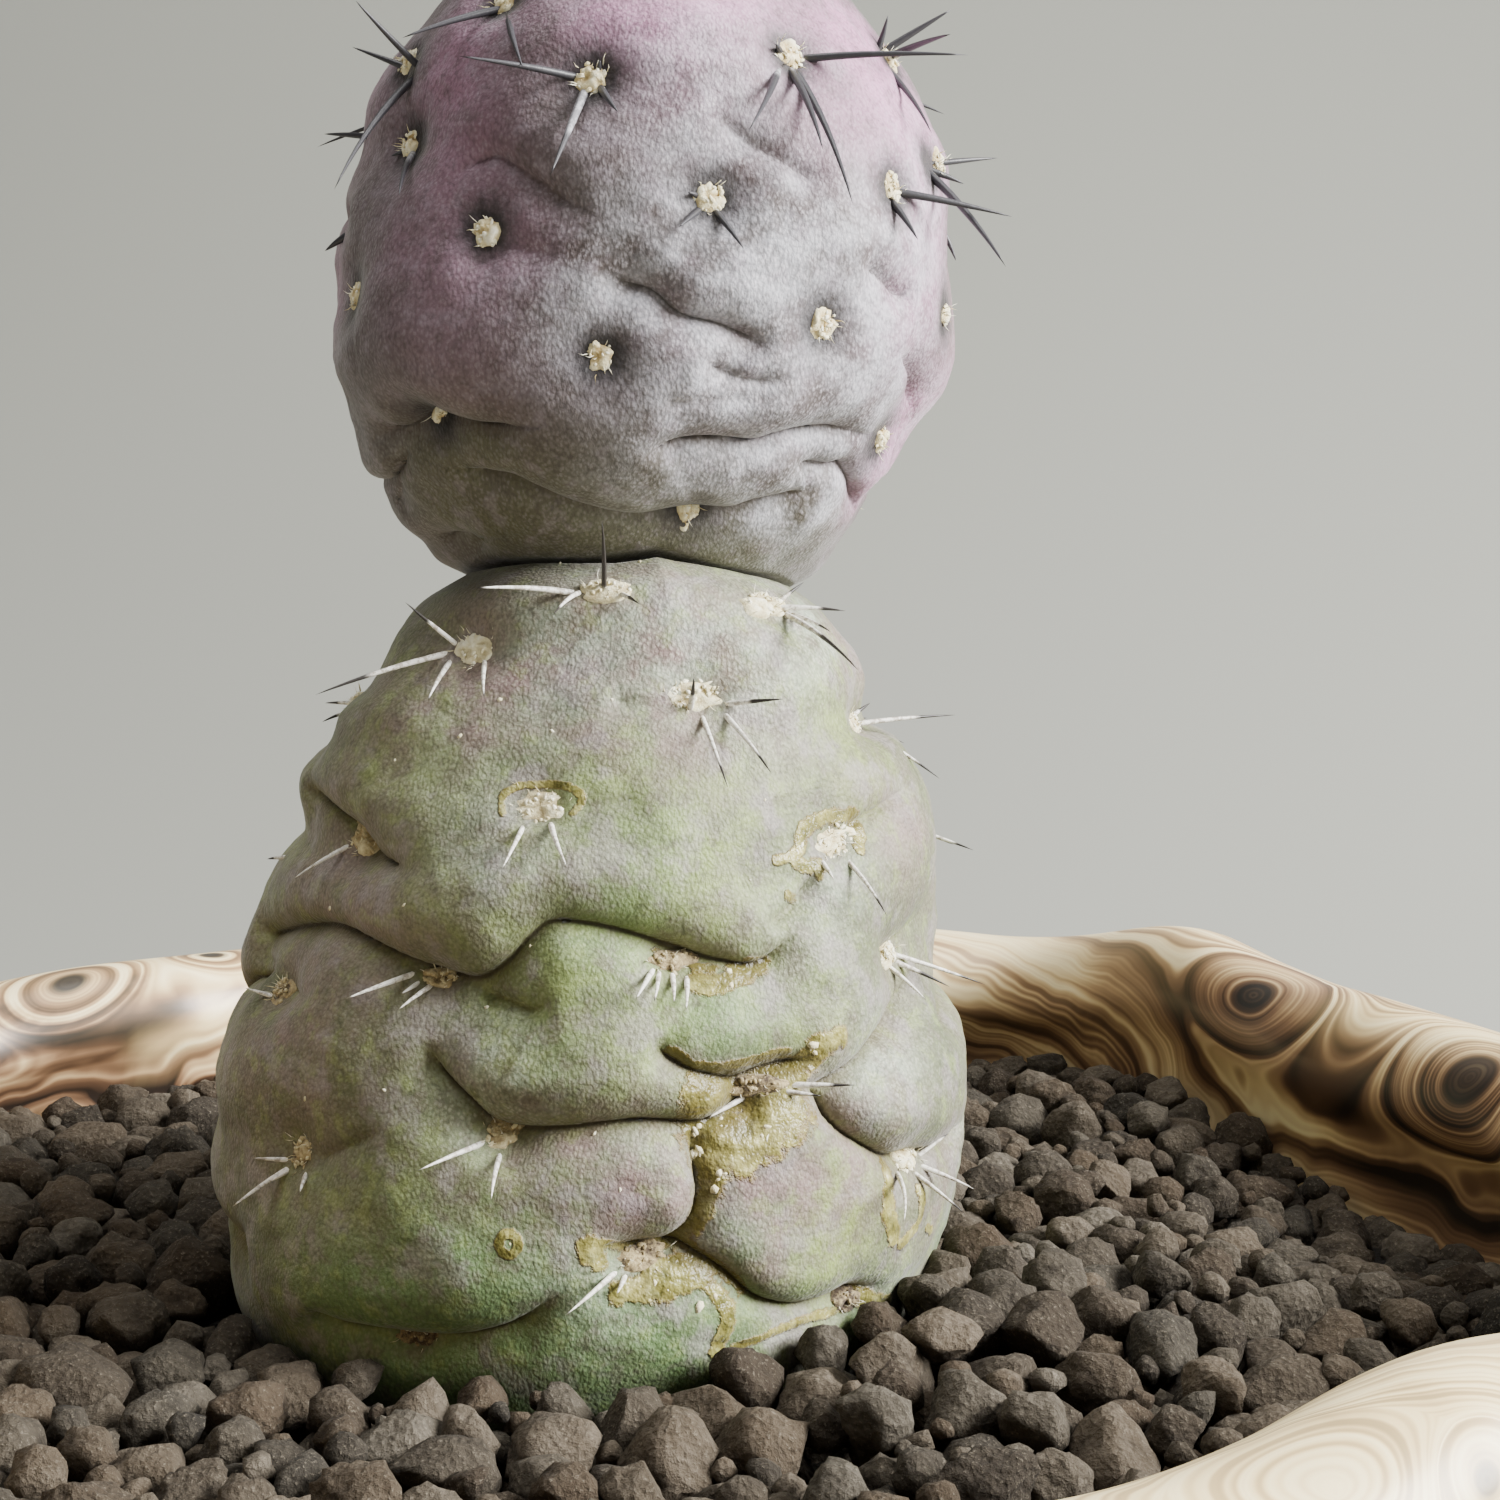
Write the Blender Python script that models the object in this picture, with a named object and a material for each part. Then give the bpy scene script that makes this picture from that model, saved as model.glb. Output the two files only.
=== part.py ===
"""A two-jointed Tephrocactus geometricus growing in granular soil in a shallow, wavy-lipped bowl.

Four solids: the bowl, the soil in it, the lower stem joint and the upper stem joint.
Frame: +Z up, origin on the table under the middle of the bowl, the photographed side towards -Y.
Lengths are in millimetres and angles in degrees until a mesh is made.
"""

import math
import random

import bmesh
import bpy
import numpy as np
from mathutils import Vector
from mathutils.geometry import delaunay_2d_cdt

# Driving dimensions
MM = 0.001
GAP = 0.35                  # air between two solids that touch
SOIL_LEVEL = 38.0           # the soil's surface above the table
BURIED_DEPTH = 7.5          # how far the lower stem joint reaches into the soil
LOWER_HEIGHT = 46.8         # the lower stem joint above the soil
UPPER_TOP = 90.0            # the crown of the plant above the soil
SEAM_RADIUS = 10.8          # the flat where the two stem joints meet
SEAM_X = 2.0                # that flat's sideways offset from the plant's axis
SEAM_TILT = 0.19            # how fast that flat climbs towards the photographed side
SEAM_REACH = 12.0           # height over which the tilt fades above and below the flat

FOOT_RADIUS = 47.0          # outer radius of the bowl's foot ring
FOOT_WIDTH = 4.0
FOOT_HEIGHT = 3.5           # the recess under the bowl
FLOOR_LEVEL = 9.0           # the bowl's floor inside
DRAIN_RADIUS = 6.0
LIP_RADIUS = 70.5           # middle of the rolled lip
LIP_TOP = 49.8
LIP_ROLL = 5.7              # radius of the rolled lip's section

AREOLE_DIMPLE = (0.9, 2.4)      # depth and half width of the pit that an areole sits in
AREOLE_HOLLOW = (0.5, 5.0)      # the wider, shallower hollow round it
PAD_RADIUS = 1.8                # the areole's woolly cushion
PAD_PROUD = 0.6
PAD_SIDES = 5
ROOT_DEPTH = 0.9                # how far cushions and spines are sunk in the skin
SPINE_HALF_WIDTH = 0.37
FOLD_BEHIND_WIDTH = 1.6
FOLD_BEHIND_WANDER = 1.3
AREOLE_STRAY = (4.0, 1.0)       # how far an areole strays from its row, in degrees and in height

GRAIN_SPACING = 8.2             # the soil's grains, larger than life so that they stay few
GRAIN_FOOT = (6, 0.475)         # corners and reach, in spacings, of a grain's ring on the bed
GRAIN_TOP = (5, 0.36)           # and of its top
GRAIN_TOP_HEIGHT = (0.4, 1.9)   # lowest and highest top above the soil's level
GRAIN_TILT = 0.35
BED_DEPTH = 1.0                 # the bed between grains, below the soil's level
PLANT_CLEARANCE = 1.6           # ground kept free of grains round the plant

BOWL_COLUMNS = 56
STEM_COLUMNS = 50
LOWER_ROWS = 31
UPPER_ROWS = 26

# The photograph's camera, which places the areoles and folds that it shows
PHOTO_CENTRE = 750.0                    # pixels, both ways, of a 1500 x 1500 frame
FOCAL_PIXELS = 2368.0
CAMERA = np.array([10.0, -158.0, 90.4])
CAMERA_PITCH = math.atan(250.0 / FOCAL_PIXELS)
RISING_PIXELS = 25          # a spine that climbs more than this stands well off the skin
STEEP_LIFT = 0.97

# Stem outlines, bottom to top: radius and height above the soil
LOWER_OUTLINE = [
    (0.0, -BURIED_DEPTH), (12.0, -7.1), (19.0, -5.0), (22.0, -2.5), (23.3, 0.0), (24.4, 3.0), (24.9, 6.0),
    (25.1, 10.0), (24.9, 14.0), (23.9, 19.0), (22.9, 23.0), (22.1, 27.5), (20.9, 31.4), (20.1, 34.0),
    (18.6, 37.0), (16.9, 40.0), (15.2, 42.8), (13.4, 45.0), (SEAM_RADIUS, LOWER_HEIGHT),
]
UPPER_OUTLINE = [
    (SEAM_RADIUS, LOWER_HEIGHT + GAP), (13.3, 48.6), (15.4, 51.0), (17.2, 53.7), (19.1, 58.4), (20.0, 62.0),
    (20.1, 65.5), (19.7, 70.0), (18.9, 74.2), (17.3, 79.3), (15.2, 82.3), (12.3, 85.5), (8.5, 88.2),
    (4.0, 89.6), (0.0, UPPER_TOP),
]
# The stem's axis leans sideways a little: height above the soil and offset along X
LEAN = [(-8.0, -1.5), (0.0, -1.5), (10.0, -0.9), (20.0, -0.7), (28.0, 0.3), (36.0, 0.8),
        (LOWER_HEIGHT, SEAM_X), (60.0, 3.0), (90.0, 3.4)]

# Areoles on the photographed side, by pixel
LOWER_AREOLES = {
    "crown_left": (605, 590), "crown_right": (765, 605), "shoulder_left": (476, 649),
    "shoulder_middle": (697, 695), "shoulder_right": (863, 719), "shoulder_far_left": (340, 702),
    "upper_left": (541, 807), "upper_right": (823, 841), "upper_far_left": (366, 840),
    "waist_middle": (670, 962), "waist_right": (885, 954), "waist_left": (440, 978),
    "waist_far_left": (285, 990), "low_left": (505, 1133), "low_middle": (757, 1085),
    "low_right": (904, 1156), "low_far_left": (303, 1152), "base_middle": (636, 1256),
    "base_left": (419, 1336), "base_right": (845, 1300),
}
UPPER_AREOLES = {
    "crown_left": (504, 4), "top_left": (591, 79), "top_middle": (789, 56), "top_right": (891, 58),
    "top_far_left": (408, 62), "high_far_left": (411, 144), "high_left": (489, 231),
    "high_middle": (709, 198), "high_right": (891, 189), "high_far_right": (938, 163),
    "middle_far_left": (357, 296), "middle_left": (602, 356), "middle_right": (822, 323),
    "middle_far_right": (943, 315), "low_left": (440, 413), "low_right": (881, 439),
    "bottom_middle": (687, 512),
}
# Rows of areoles round the rest of each stem joint: height, first angle, count, step
LOWER_ROWS_BEHIND = [(43.5, 20, 4, 57), (38.8, -2, 5, 38), (31.0, -14, 5, 40), (24.0, 4, 5, 39),
                     (15.0, -6, 6, 37), (7.5, 12, 5, 37)]
UPPER_ROWS_BEHIND = [(87.4, 5, 4, 90), (80.5, 18, 5, 40), (72.5, 34, 4, 38), (64.0, 14, 5, 38),
                     (56.5, 2, 5, 40), (51.8, 22, 4, 46)]

# The longest spines of each areole on the photographed side, by pixel, from root to tip
LOWER_SPINES = [
    ((603, 592), (602, 520)), ((579, 588), (473, 588)), ((783, 606), (859, 671)), ((770, 603), (846, 611)),
    ((456, 644), (405, 602)), ((453, 648), (345, 688)), ((481, 655), (484, 698)), ((692, 708), (694, 677)),
    ((702, 709), (728, 788)), ((722, 708), (772, 774)), ((858, 718), (956, 715)), ((858, 722), (940, 779)),
    ((524, 819), (502, 869)), ((548, 817), (567, 867)), ((847, 853), (887, 916)), ((823, 855), (834, 880)),
    ((353, 840), (293, 879)), ((658, 964), (636, 999)), ((687, 970), (686, 1010)), ((886, 950), (986, 985)),
    ((886, 959), (926, 1000)), ((420, 969), (345, 999)), ((438, 977), (398, 1010)), ((277, 996), (245, 988)),
    ((490, 1138), (417, 1171)), ((501, 1146), (491, 1201)), ((786, 1085), (856, 1085)),
    ((748, 1095), (708, 1118)), ((917, 1158), (949, 1133)), ((917, 1161), (974, 1189)),
    ((901, 1168), (904, 1222)), ((292, 1163), (232, 1207)), ((304, 1168), (300, 1192)),
    ((623, 1268), (566, 1315)), ((630, 1270), (617, 1294)),
]
UPPER_SPINES = [
    ((415, 66), (355, 0)), ((410, 68), (352, 47)), ((412, 70), (334, 190)), ((409, 148), (399, 196)),
    ((583, 76), (458, 56)), ((585, 84), (550, 176)), ((597, 82), (618, 112)), ((504, 6), (523, 68)),
    ((508, 2), (402, 38)), ((800, 55), (969, 55)), ((792, 62), (823, 150)), ((796, 62), (853, 205)),
    ((784, 62), (749, 130)), ((885, 50), (952, 9)), ((888, 58), (932, 134)), ((930, 163), (998, 158)),
    ((930, 166), (1006, 267)), ((895, 189), (1013, 217)), ((893, 194), (918, 240)), ((712, 204), (744, 249)),
    ((704, 205), (679, 227)),
]

# Creases on the photographed side: depth, width and swell of the skin above, then the route by pixel
LOWER_FOLDS = [
    (1.8, 1.7, 0.8, [(280, 935), (345, 927), (400, 955), (480, 977), (530, 942), (610, 928), (720, 962),
                     (790, 940), (815, 870)]),
    (1.8, 1.7, 0.8, [(400, 1030), (440, 1065), (505, 1122), (560, 1124), (700, 1110), (760, 1085),
                     (830, 1063), (891, 1015), (925, 905)]),
    (1.2, 1.5, 0.5, [(790, 1085), (850, 1120), (875, 1150), (940, 1140), (960, 1125)]),
    (1.3, 1.7, 0.5, [(690, 1125), (695, 1190), (670, 1232), (590, 1247)]),
    (1.4, 1.6, 0.5, [(300, 1305), (350, 1325), (450, 1332), (520, 1316), (576, 1280)]),
    (1.4, 1.6, 0.5, [(670, 1240), (720, 1265), (760, 1300), (830, 1295), (900, 1285)]),
    (1.3, 1.5, 0.6, [(310, 784), (353, 824), (390, 860), (440, 880)]),
    (1.0, 1.6, 0.4, [(585, 685), (640, 697), (690, 702)]),
    (1.0, 1.6, 0.4, [(575, 800), (610, 808), (655, 788)]),
    (1.0, 1.4, 0.4, [(840, 835), (880, 807), (915, 780)]),
]
UPPER_FOLDS = [
    (1.6, 1.6, 0.8, [(371, 448), (410, 425), (453, 410), (537, 426)]),
    (1.6, 1.6, 0.8, [(440, 470), (517, 481), (593, 509), (677, 516), (757, 504), (813, 500)]),
    (1.4, 1.5, 0.7, [(640, 462), (696, 439), (752, 443), (816, 428), (880, 440)]),
    (1.4, 1.5, 0.6, [(590, 271), (652, 293), (721, 329), (800, 382)]),
    (1.1, 1.5, 0.5, [(445, 189), (494, 158), (568, 204), (620, 232)]),
    (1.2, 1.5, 0.5, [(783, 476), (823, 461), (851, 484), (862, 515)]),
    (0.9, 1.5, 0.4, [(700, 110), (752, 143), (839, 180)]),
    (1.0, 1.4, 0.5, [(860, 260), (895, 300), (913, 366), (905, 420)]),
]
# Creases round the rest: start angle, end angle, mean height, rise from end to end, depth
LOWER_FOLDS_BEHIND = [(-20, 62, 21.0, 4.0, 1.6), (55, 150, 27.5, -5.0, 1.7), (140, 205, 19.0, 5.0, 1.5),
                      (0, 80, 11.0, -3.0, 1.5), (95, 170, 13.5, 3.0, 1.6), (10, 70, 34.5, -3.0, 1.2),
                      (90, 165, 36.0, 3.0, 1.2), (150, 215, 7.0, -2.0, 1.3), (30, 110, 5.5, 1.5, 1.2)]
UPPER_FOLDS_BEHIND = [(-15, 60, 54.5, 2.0, 1.6), (70, 160, 55.5, -3.0, 1.6), (150, 215, 53.5, 3.0, 1.5),
                      (20, 90, 61.0, 3.0, 1.3), (110, 175, 62.0, -3.0, 1.2), (40, 120, 69.0, 4.0, 1.1),
                      (140, 205, 70.5, -3.0, 1.0), (0, 60, 76.5, -3.0, 0.9)]

# Swells and hollows that shape the sides: angle, height, rise, half width in degrees, half height
LOWER_SWELLS = [(192, 40.0, 1.1, 40, 4.0), (192, 37.6, 0.6, 30, 1.2), (192, 30.8, -0.9, 30, 1.6),
                (192, 12.5, -0.9, 40, 3.6), (-5, 38.0, -1.4, 30, 1.4), (-5, 30.3, 0.9, 35, 3.0),
                (-5, 17.5, 1.0, 35, 2.6), (45, 33.0, 0.8, 35, 3.5), (110, 22.0, 0.7, 35, 3.0),
                (80, 9.0, 0.8, 40, 3.5), (140, 34.0, 0.7, 30, 3.0)]
UPPER_SWELLS = [(192, 61.5, 0.8, 35, 2.8), (192, 74.0, -1.1, 35, 2.6), (192, 54.0, 1.3, 30, 1.5),
                (192, 49.0, -0.8, 30, 1.4), (-5, 73.5, 0.9, 35, 3.6), (-5, 51.2, 1.9, 35, 2.4),
                (70, 52.5, 1.0, 35, 2.4), (130, 66.0, 0.8, 35, 3.5), (60, 72.0, 0.8, 35, 4.0)]

# The lip's waves: angle, push outwards, lift, half width
LIP_WAVES = [
    (62, 5.5, -1.6, 12), (47, 0.5, 2.4, 9), (27, -4.0, 0.9, 12), (8, 1.5, -0.8, 9), (88, -1.0, 0.8, 10),
    (112, 1.2, -1.9, 10), (128, -2.0, -0.7, 9), (146, 2.6, -2.0, 10), (170, -1.2, 0.6, 10),
    (192, 1.6, -0.8, 9), (214, -2.0, 1.2, 11), (236, 2.4, -1.0, 11), (258, -1.4, 0.4, 10),
    (281, 1.0, 0.2, 10), (304, -1.6, 1.7, 10), (326, 2.0, 0.8, 10), (346, -1.2, 0.8, 9),
]


# Small mathematics

def smooth_step(low, high, value):
    """0 below low, 1 above high, with a smooth rise between."""
    t = np.clip((value - low) / (high - low), 0.0, 1.0)
    return t * t * (3.0 - 2.0 * t)


def through_points(points, steps):
    """Points along a smooth curve (Catmull-Rom) through the given ones."""
    knots = np.array(points, dtype=float)
    padded = np.vstack([2 * knots[0] - knots[1], knots, 2 * knots[-1] - knots[-2]])
    curve = []
    for i in range(len(knots) - 1):
        a, b, c, d = padded[i:i + 4]
        for t in np.arange(steps) / steps:
            curve.append(0.5 * (2 * b + (c - a) * t + (2 * a - 5 * b + 4 * c - d) * t ** 2
                                + (3 * b - a - 3 * c + d) * t ** 3))
    curve.append(knots[-1])
    return np.array(curve)


def photo_ray(pixel):
    """Direction in which the photograph's camera sees a pixel."""
    right = np.array([1.0, 0.0, 0.0])
    ahead = np.array([0.0, math.cos(CAMERA_PITCH), -math.sin(CAMERA_PITCH)])
    up = np.array([0.0, math.sin(CAMERA_PITCH), math.cos(CAMERA_PITCH)])
    across = (pixel[0] - PHOTO_CENTRE) / FOCAL_PIXELS
    down = (pixel[1] - PHOTO_CENTRE) / FOCAL_PIXELS
    ray = ahead + right * across - up * down
    return ray / np.linalg.norm(ray)


# Blender helpers

def clear_scene():
    for thing in list(bpy.data.objects):
        bpy.data.objects.remove(thing, do_unlink=True)


def material(name, colour, roughness):
    mat = bpy.data.materials.new(name)
    mat.use_nodes = True
    shader = mat.node_tree.nodes["Principled BSDF"]
    shader.inputs["Base Color"].default_value = (*colour, 1.0)
    shader.inputs["Roughness"].default_value = roughness
    shader.inputs["Metallic"].default_value = 0.0
    return mat


def solid(name, points, faces, origin=(0.0, 0.0, 0.0), mat=None, collection=None):
    """An object from world points in millimetres, with its faces turned to point out."""
    mesh = bpy.data.meshes.new(name)
    mesh.from_pydata([tuple((np.asarray(p) - origin) * MM) for p in points], [], faces)
    bm = bmesh.new()
    bm.from_mesh(mesh)
    loose = [vertex for vertex in bm.verts if not vertex.link_faces]
    bmesh.ops.delete(bm, geom=loose, context="VERTS")
    bmesh.ops.recalc_face_normals(bm, faces=bm.faces)
    bm.to_mesh(mesh)
    bm.free()
    if mat:
        mesh.materials.append(mat)
    made = bpy.data.objects.new(name, mesh)
    made.location = Vector(origin) * MM
    (collection or bpy.context.scene.collection).objects.link(made)
    return made


def shade_round(thing, sharp_angle):
    """Smooth shading, with edges steeper than an angle kept sharp."""
    thing.data.shade_smooth()
    thing.data.set_sharp_from_angle(angle=math.radians(sharp_angle))


def ring_faces(rows, columns, closed_rows=False):
    """Quads between successive rings of a grid whose points run ring by ring."""
    faces = []
    for row in range(rows if closed_rows else rows - 1):
        above = (row + 1) % rows
        for column in range(columns):
            beside = (column + 1) % columns
            faces.append((row * columns + column, row * columns + beside,
                          above * columns + beside, above * columns + column))
    return faces


def fan(centre, ring):
    """Triangles from one point to a closed ring of points."""
    return [(centre, ring[i], ring[(i + 1) % len(ring)]) for i in range(len(ring))]


def fuse(body, repeats):
    """Unite a collection of small repeats with the body in one Boolean, applied."""
    union = body.modifiers.new("fuse", "BOOLEAN")
    union.operation = "UNION"
    union.operand_type = "COLLECTION"
    union.collection = repeats
    union.solver = "EXACT"
    evaluated = body.evaluated_get(bpy.context.evaluated_depsgraph_get())
    fused = bpy.data.meshes.new_from_object(evaluated)
    body.modifiers.clear()
    body.data = fused
    for repeat in list(repeats.objects):
        bpy.data.objects.remove(repeat, do_unlink=True)
    bpy.data.collections.remove(repeats)


# Stem joints

class StemJoint:
    """A turned outline on a leaning axis, with creases, dimpled areoles and soft swells."""

    def __init__(self, outline, relief_span, swells):
        curve = through_points(outline, 16)
        lengths = np.concatenate([[0.0], np.cumsum(np.hypot(*np.diff(curve, axis=0).T))])
        self.radii = curve[:, 0]
        self.heights = curve[:, 1]
        self.along = lengths / lengths[-1]
        self.relief_span = relief_span      # heights between which the relief fades in and out
        self.swells = swells
        self.areoles = []
        self.folds = []

    def tilt_at(self, height):
        """How strongly the seam's tilt acts at a height."""
        away = np.abs(height - LOWER_HEIGHT)
        return SEAM_TILT * (1.0 - smooth_step(1.0, SEAM_REACH, away))

    def radius_at(self, height):
        return np.interp(height, self.heights, self.radii)

    def lean_at(self, height):
        return np.interp(height, LEAN_CURVE[:, 0], LEAN_CURVE[:, 1])

    def bare(self, angle, height):
        """A point of the turned surface, before any relief."""
        radius = self.radius_at(height)
        depth = radius * math.sin(angle)
        return np.array([self.lean_at(height) + radius * math.cos(angle), depth,
                         SOIL_LEVEL + height - self.tilt_at(height) * depth])

    def out(self, angle, height):
        """The turned surface's outward direction."""
        step = 0.2
        slope = (self.radius_at(height + step) - self.radius_at(height - step)) / (2 * step)
        normal = np.array([math.cos(angle), math.sin(angle), -slope])
        return normal / np.linalg.norm(normal)

    def seen_at(self, pixel):
        """Angle and height of the surface point that the photograph shows at a pixel."""
        ray = photo_ray(pixel)
        points = CAMERA + np.linspace(110.0, 190.0, 1600)[:, None] * ray
        heights = points[:, 2] - SOIL_LEVEL
        heights += self.tilt_at(heights) * points[:, 1]
        within = (heights > self.heights[0]) & (heights < self.heights[-1]) & (points[:, 1] < 2.0)
        clear = np.hypot(points[:, 0] - self.lean_at(heights), points[:, 1]) - self.radius_at(heights)
        clear = np.where(within, clear, 1e3)
        inside = np.flatnonzero(clear < 0.0)
        nearest = inside[0] if len(inside) else int(np.argmin(clear))
        x, y, _ = points[nearest]
        height = heights[nearest]
        return math.atan2(y, x - self.lean_at(height)), height

    def add_areole(self, angle, height):
        self.areoles.append((angle, height, self.bare(angle, height)))

    def add_seen_fold(self, depth, width, swell, pixels):
        spots = [self.bare(*self.seen_at(pixel)) for pixel in pixels]
        self.folds.append((depth, width, swell, through_points(spots, 3)))

    def add_fold_behind(self, first, last, height, rise, depth):
        """A crease that wanders as it goes round, like the ones in front."""
        spots = []
        for t in np.linspace(0.0, 1.0, 9):
            angle = math.radians(first + (last - first) * t)
            wander = FOLD_BEHIND_WANDER * math.sin(7.0 * t + first)
            spots.append(self.bare(angle, height + rise * (t - 0.5) + wander))
        self.folds.append((depth, FOLD_BEHIND_WIDTH, 0.45 * depth, through_points(spots, 2)))

    def relief(self, points, normals):
        """How far the skin stands out from the turned surface at each point."""
        angle = np.arctan2(points[:, 1], points[:, 0])
        height = points[:, 2] - SOIL_LEVEL
        raised = 0.35 * np.sin(3 * angle + 0.23 * height) + 0.25 * np.sin(5 * angle - 0.31 * height + 1.0)
        for middle, level, rise, half_width, half_height in self.swells:
            aside = np.degrees(np.arctan2(np.sin(angle - math.radians(middle)),
                                          np.cos(angle - math.radians(middle))))
            raised += rise * np.exp(-(aside / half_width) ** 2 - ((height - level) / half_height) ** 2)
        for _, _, spot in self.areoles:
            distance = np.linalg.norm(points - spot, axis=1)
            for depth, width in (AREOLE_DIMPLE, AREOLE_HOLLOW):
                raised -= depth * np.exp(-(distance / width) ** 2)
        for depth, width, swell, route in self.folds:
            raised += crease(points, normals, depth, width, swell, route)
        bottom, full, fading, top = self.relief_span
        return raised * smooth_step(bottom, full, height) * (1.0 - smooth_step(fading, top, height))

    def rings(self, rows):
        """Radius, height and slope of evenly spaced rings from bottom to top, poles left out."""
        along = np.linspace(0.0, 1.0, rows + 2)
        radii = np.interp(along, self.along, self.radii)
        heights = np.interp(along, self.along, self.heights)
        keep = radii > 1e-6
        return radii[keep], heights[keep], np.gradient(radii[keep], heights[keep])

    def skin(self, rows, columns):
        """Points of the finished surface, ring by ring from bottom to top."""
        radii, heights, slopes = self.rings(rows)
        angles = np.arange(columns) * 2 * math.pi / columns
        around, radius = np.meshgrid(angles, radii)
        _, height = np.meshgrid(angles, heights)
        _, slope = np.meshgrid(angles, slopes)
        depth = radius * np.sin(around)
        points = np.stack([self.lean_at(height) + radius * np.cos(around), depth,
                           SOIL_LEVEL + height - self.tilt_at(height) * depth], axis=-1).reshape(-1, 3)
        normals = np.stack([np.cos(around), np.sin(around), -slope], axis=-1).reshape(-1, 3)
        normals /= np.linalg.norm(normals, axis=1, keepdims=True)
        return points + self.relief(points, normals)[:, None] * normals, len(radii)

    def spot_on_skin(self, angle, height):
        spot = self.bare(angle, height)
        normal = self.out(angle, height)
        return spot + self.relief(spot[None], normal[None])[0] * normal, normal


def crease(points, normals, depth, width, swell, route):
    """A sharp valley along a route, with the skin on its upper side swelling over it."""
    nearest = np.full(len(points), 1e6)
    side = np.zeros(len(points))
    taper = np.zeros(len(points))
    last = len(route) - 2
    for i, (start, end) in enumerate(zip(route[:-1], route[1:])):
        along = end - start
        t = np.clip((points - start) @ along / (along @ along), 0.0, 1.0)
        away = points - (start + t[:, None] * along)
        distance = np.linalg.norm(away, axis=1)
        closer = distance < nearest
        nearest = np.where(closer, distance, nearest)
        upward = np.sign(np.einsum("ij,ij->i", np.cross(along, away), normals))
        side = np.where(closer, upward, side)
        progress = (i + t) / (last + 1)
        ends = smooth_step(0.0, 0.18, progress) * (1.0 - smooth_step(0.82, 1.0, progress))
        taper = np.where(closer, ends, taper)
    valley = -depth * np.exp(-nearest / width)
    roll = swell * np.exp(-((side * nearest - 2.2 * width) / (1.5 * width)) ** 2)
    return (valley + roll) * taper


def stem_joint(outline, relief_span, swells, areoles, rows_behind, folds, folds_behind, seed):
    """A joint with areoles and creases where the photograph shows them, and more round the rest."""
    joint = StemJoint(outline, relief_span, swells)
    for pixel in areoles.values():
        joint.add_areole(*joint.seen_at(pixel))
    draw = random.Random(seed)
    for height, first, count, step in rows_behind:
        for i in range(count):
            angle = math.radians(first + i * step + draw.uniform(-AREOLE_STRAY[0], AREOLE_STRAY[0]))
            joint.add_areole(angle, height + draw.uniform(-AREOLE_STRAY[1], AREOLE_STRAY[1]))
    for depth, width, swell, pixels in folds:
        joint.add_seen_fold(depth, width, swell, pixels)
    for fold in folds_behind:
        joint.add_fold_behind(*fold)
    return joint


def needle(spot, normal, tip, collection):
    """A slim three-sided spine, rooted under the skin."""
    root = spot - ROOT_DEPTH * normal
    turn = Vector(tip - root).to_track_quat("Z", "Y").to_matrix()
    points = []
    for corner in range(3):
        a = 2 * math.pi * corner / 3
        local = Vector((SPINE_HALF_WIDTH * math.cos(a), SPINE_HALF_WIDTH * math.sin(a), 0.0))
        points.append(np.array(turn @ local) + root)
    solid("spine", points + [tip], [(0, 2, 1), (0, 1, 3), (1, 2, 3), (2, 0, 3)], collection=collection)


def areole_pad(spot, normal, collection):
    """A low woolly cushion, its lower half sunk in the skin."""
    turn = Vector(normal).to_track_quat("Z", "Y").to_matrix()
    levels = ((PAD_RADIUS, -ROOT_DEPTH), (PAD_RADIUS, 0.25 * PAD_PROUD), (0.6 * PAD_RADIUS, PAD_PROUD))
    points = []
    for radius, level in levels:
        for i in range(PAD_SIDES):
            a = 2 * math.pi * (i + 0.13) / PAD_SIDES
            local = Vector((radius * math.cos(a), 0.8 * radius * math.sin(a), level))
            points.append(np.array(turn @ local) + spot)
    top = len(levels) - 1
    caps = [tuple(range(PAD_SIDES)), tuple(range(top * PAD_SIDES, (top + 1) * PAD_SIDES))]
    solid("pad", points, ring_faces(len(levels), PAD_SIDES) + caps, collection=collection)


def tip_on_ray(root, normal, pixel, lift):
    """The point on a pixel's ray whose spine from root leans off the skin by about the lift."""
    ray = photo_ray(pixel)
    reach = (root - CAMERA) @ ray + np.linspace(-9.0, 5.0, 141)
    tips = CAMERA + reach[:, None] * ray
    lengths = np.linalg.norm(tips - root, axis=1)
    lean = (tips - root) @ normal / lengths
    return tips[np.argmin(np.abs(lean - lift) + 0.01 * lengths)]


def seen_spines(joint, pairs, lift, collection):
    for root_pixel, tip_pixel in pairs:
        spot, normal = joint.spot_on_skin(*joint.seen_at(root_pixel))
        rising = root_pixel[1] - tip_pixel[1] > RISING_PIXELS
        needle(spot, normal, tip_on_ray(spot, normal, tip_pixel, STEEP_LIFT if rising else lift), collection)


def spines_behind(joint, areoles, lengths, seed, collection):
    """Two spines fanned downwards from each of the given areoles."""
    draw = random.Random(seed)
    for angle, height, _ in areoles:
        spot, normal = joint.spot_on_skin(angle, height)
        across = np.array([-math.sin(angle), math.cos(angle), 0.0])
        down = np.cross(across, normal)
        down = down if down[2] < 0.0 else -down
        for swing in draw.choice([(-38, 34), (-24, 48), (-44, 22)]):
            swing = math.radians(swing + draw.uniform(-9, 9))
            lift = math.radians(draw.uniform(28, 46))
            flat = math.cos(swing) * down + math.sin(swing) * across
            reach = draw.uniform(*lengths) * (math.cos(lift) * flat + math.sin(lift) * normal)
            needle(spot, normal, spot + reach, collection)


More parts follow.
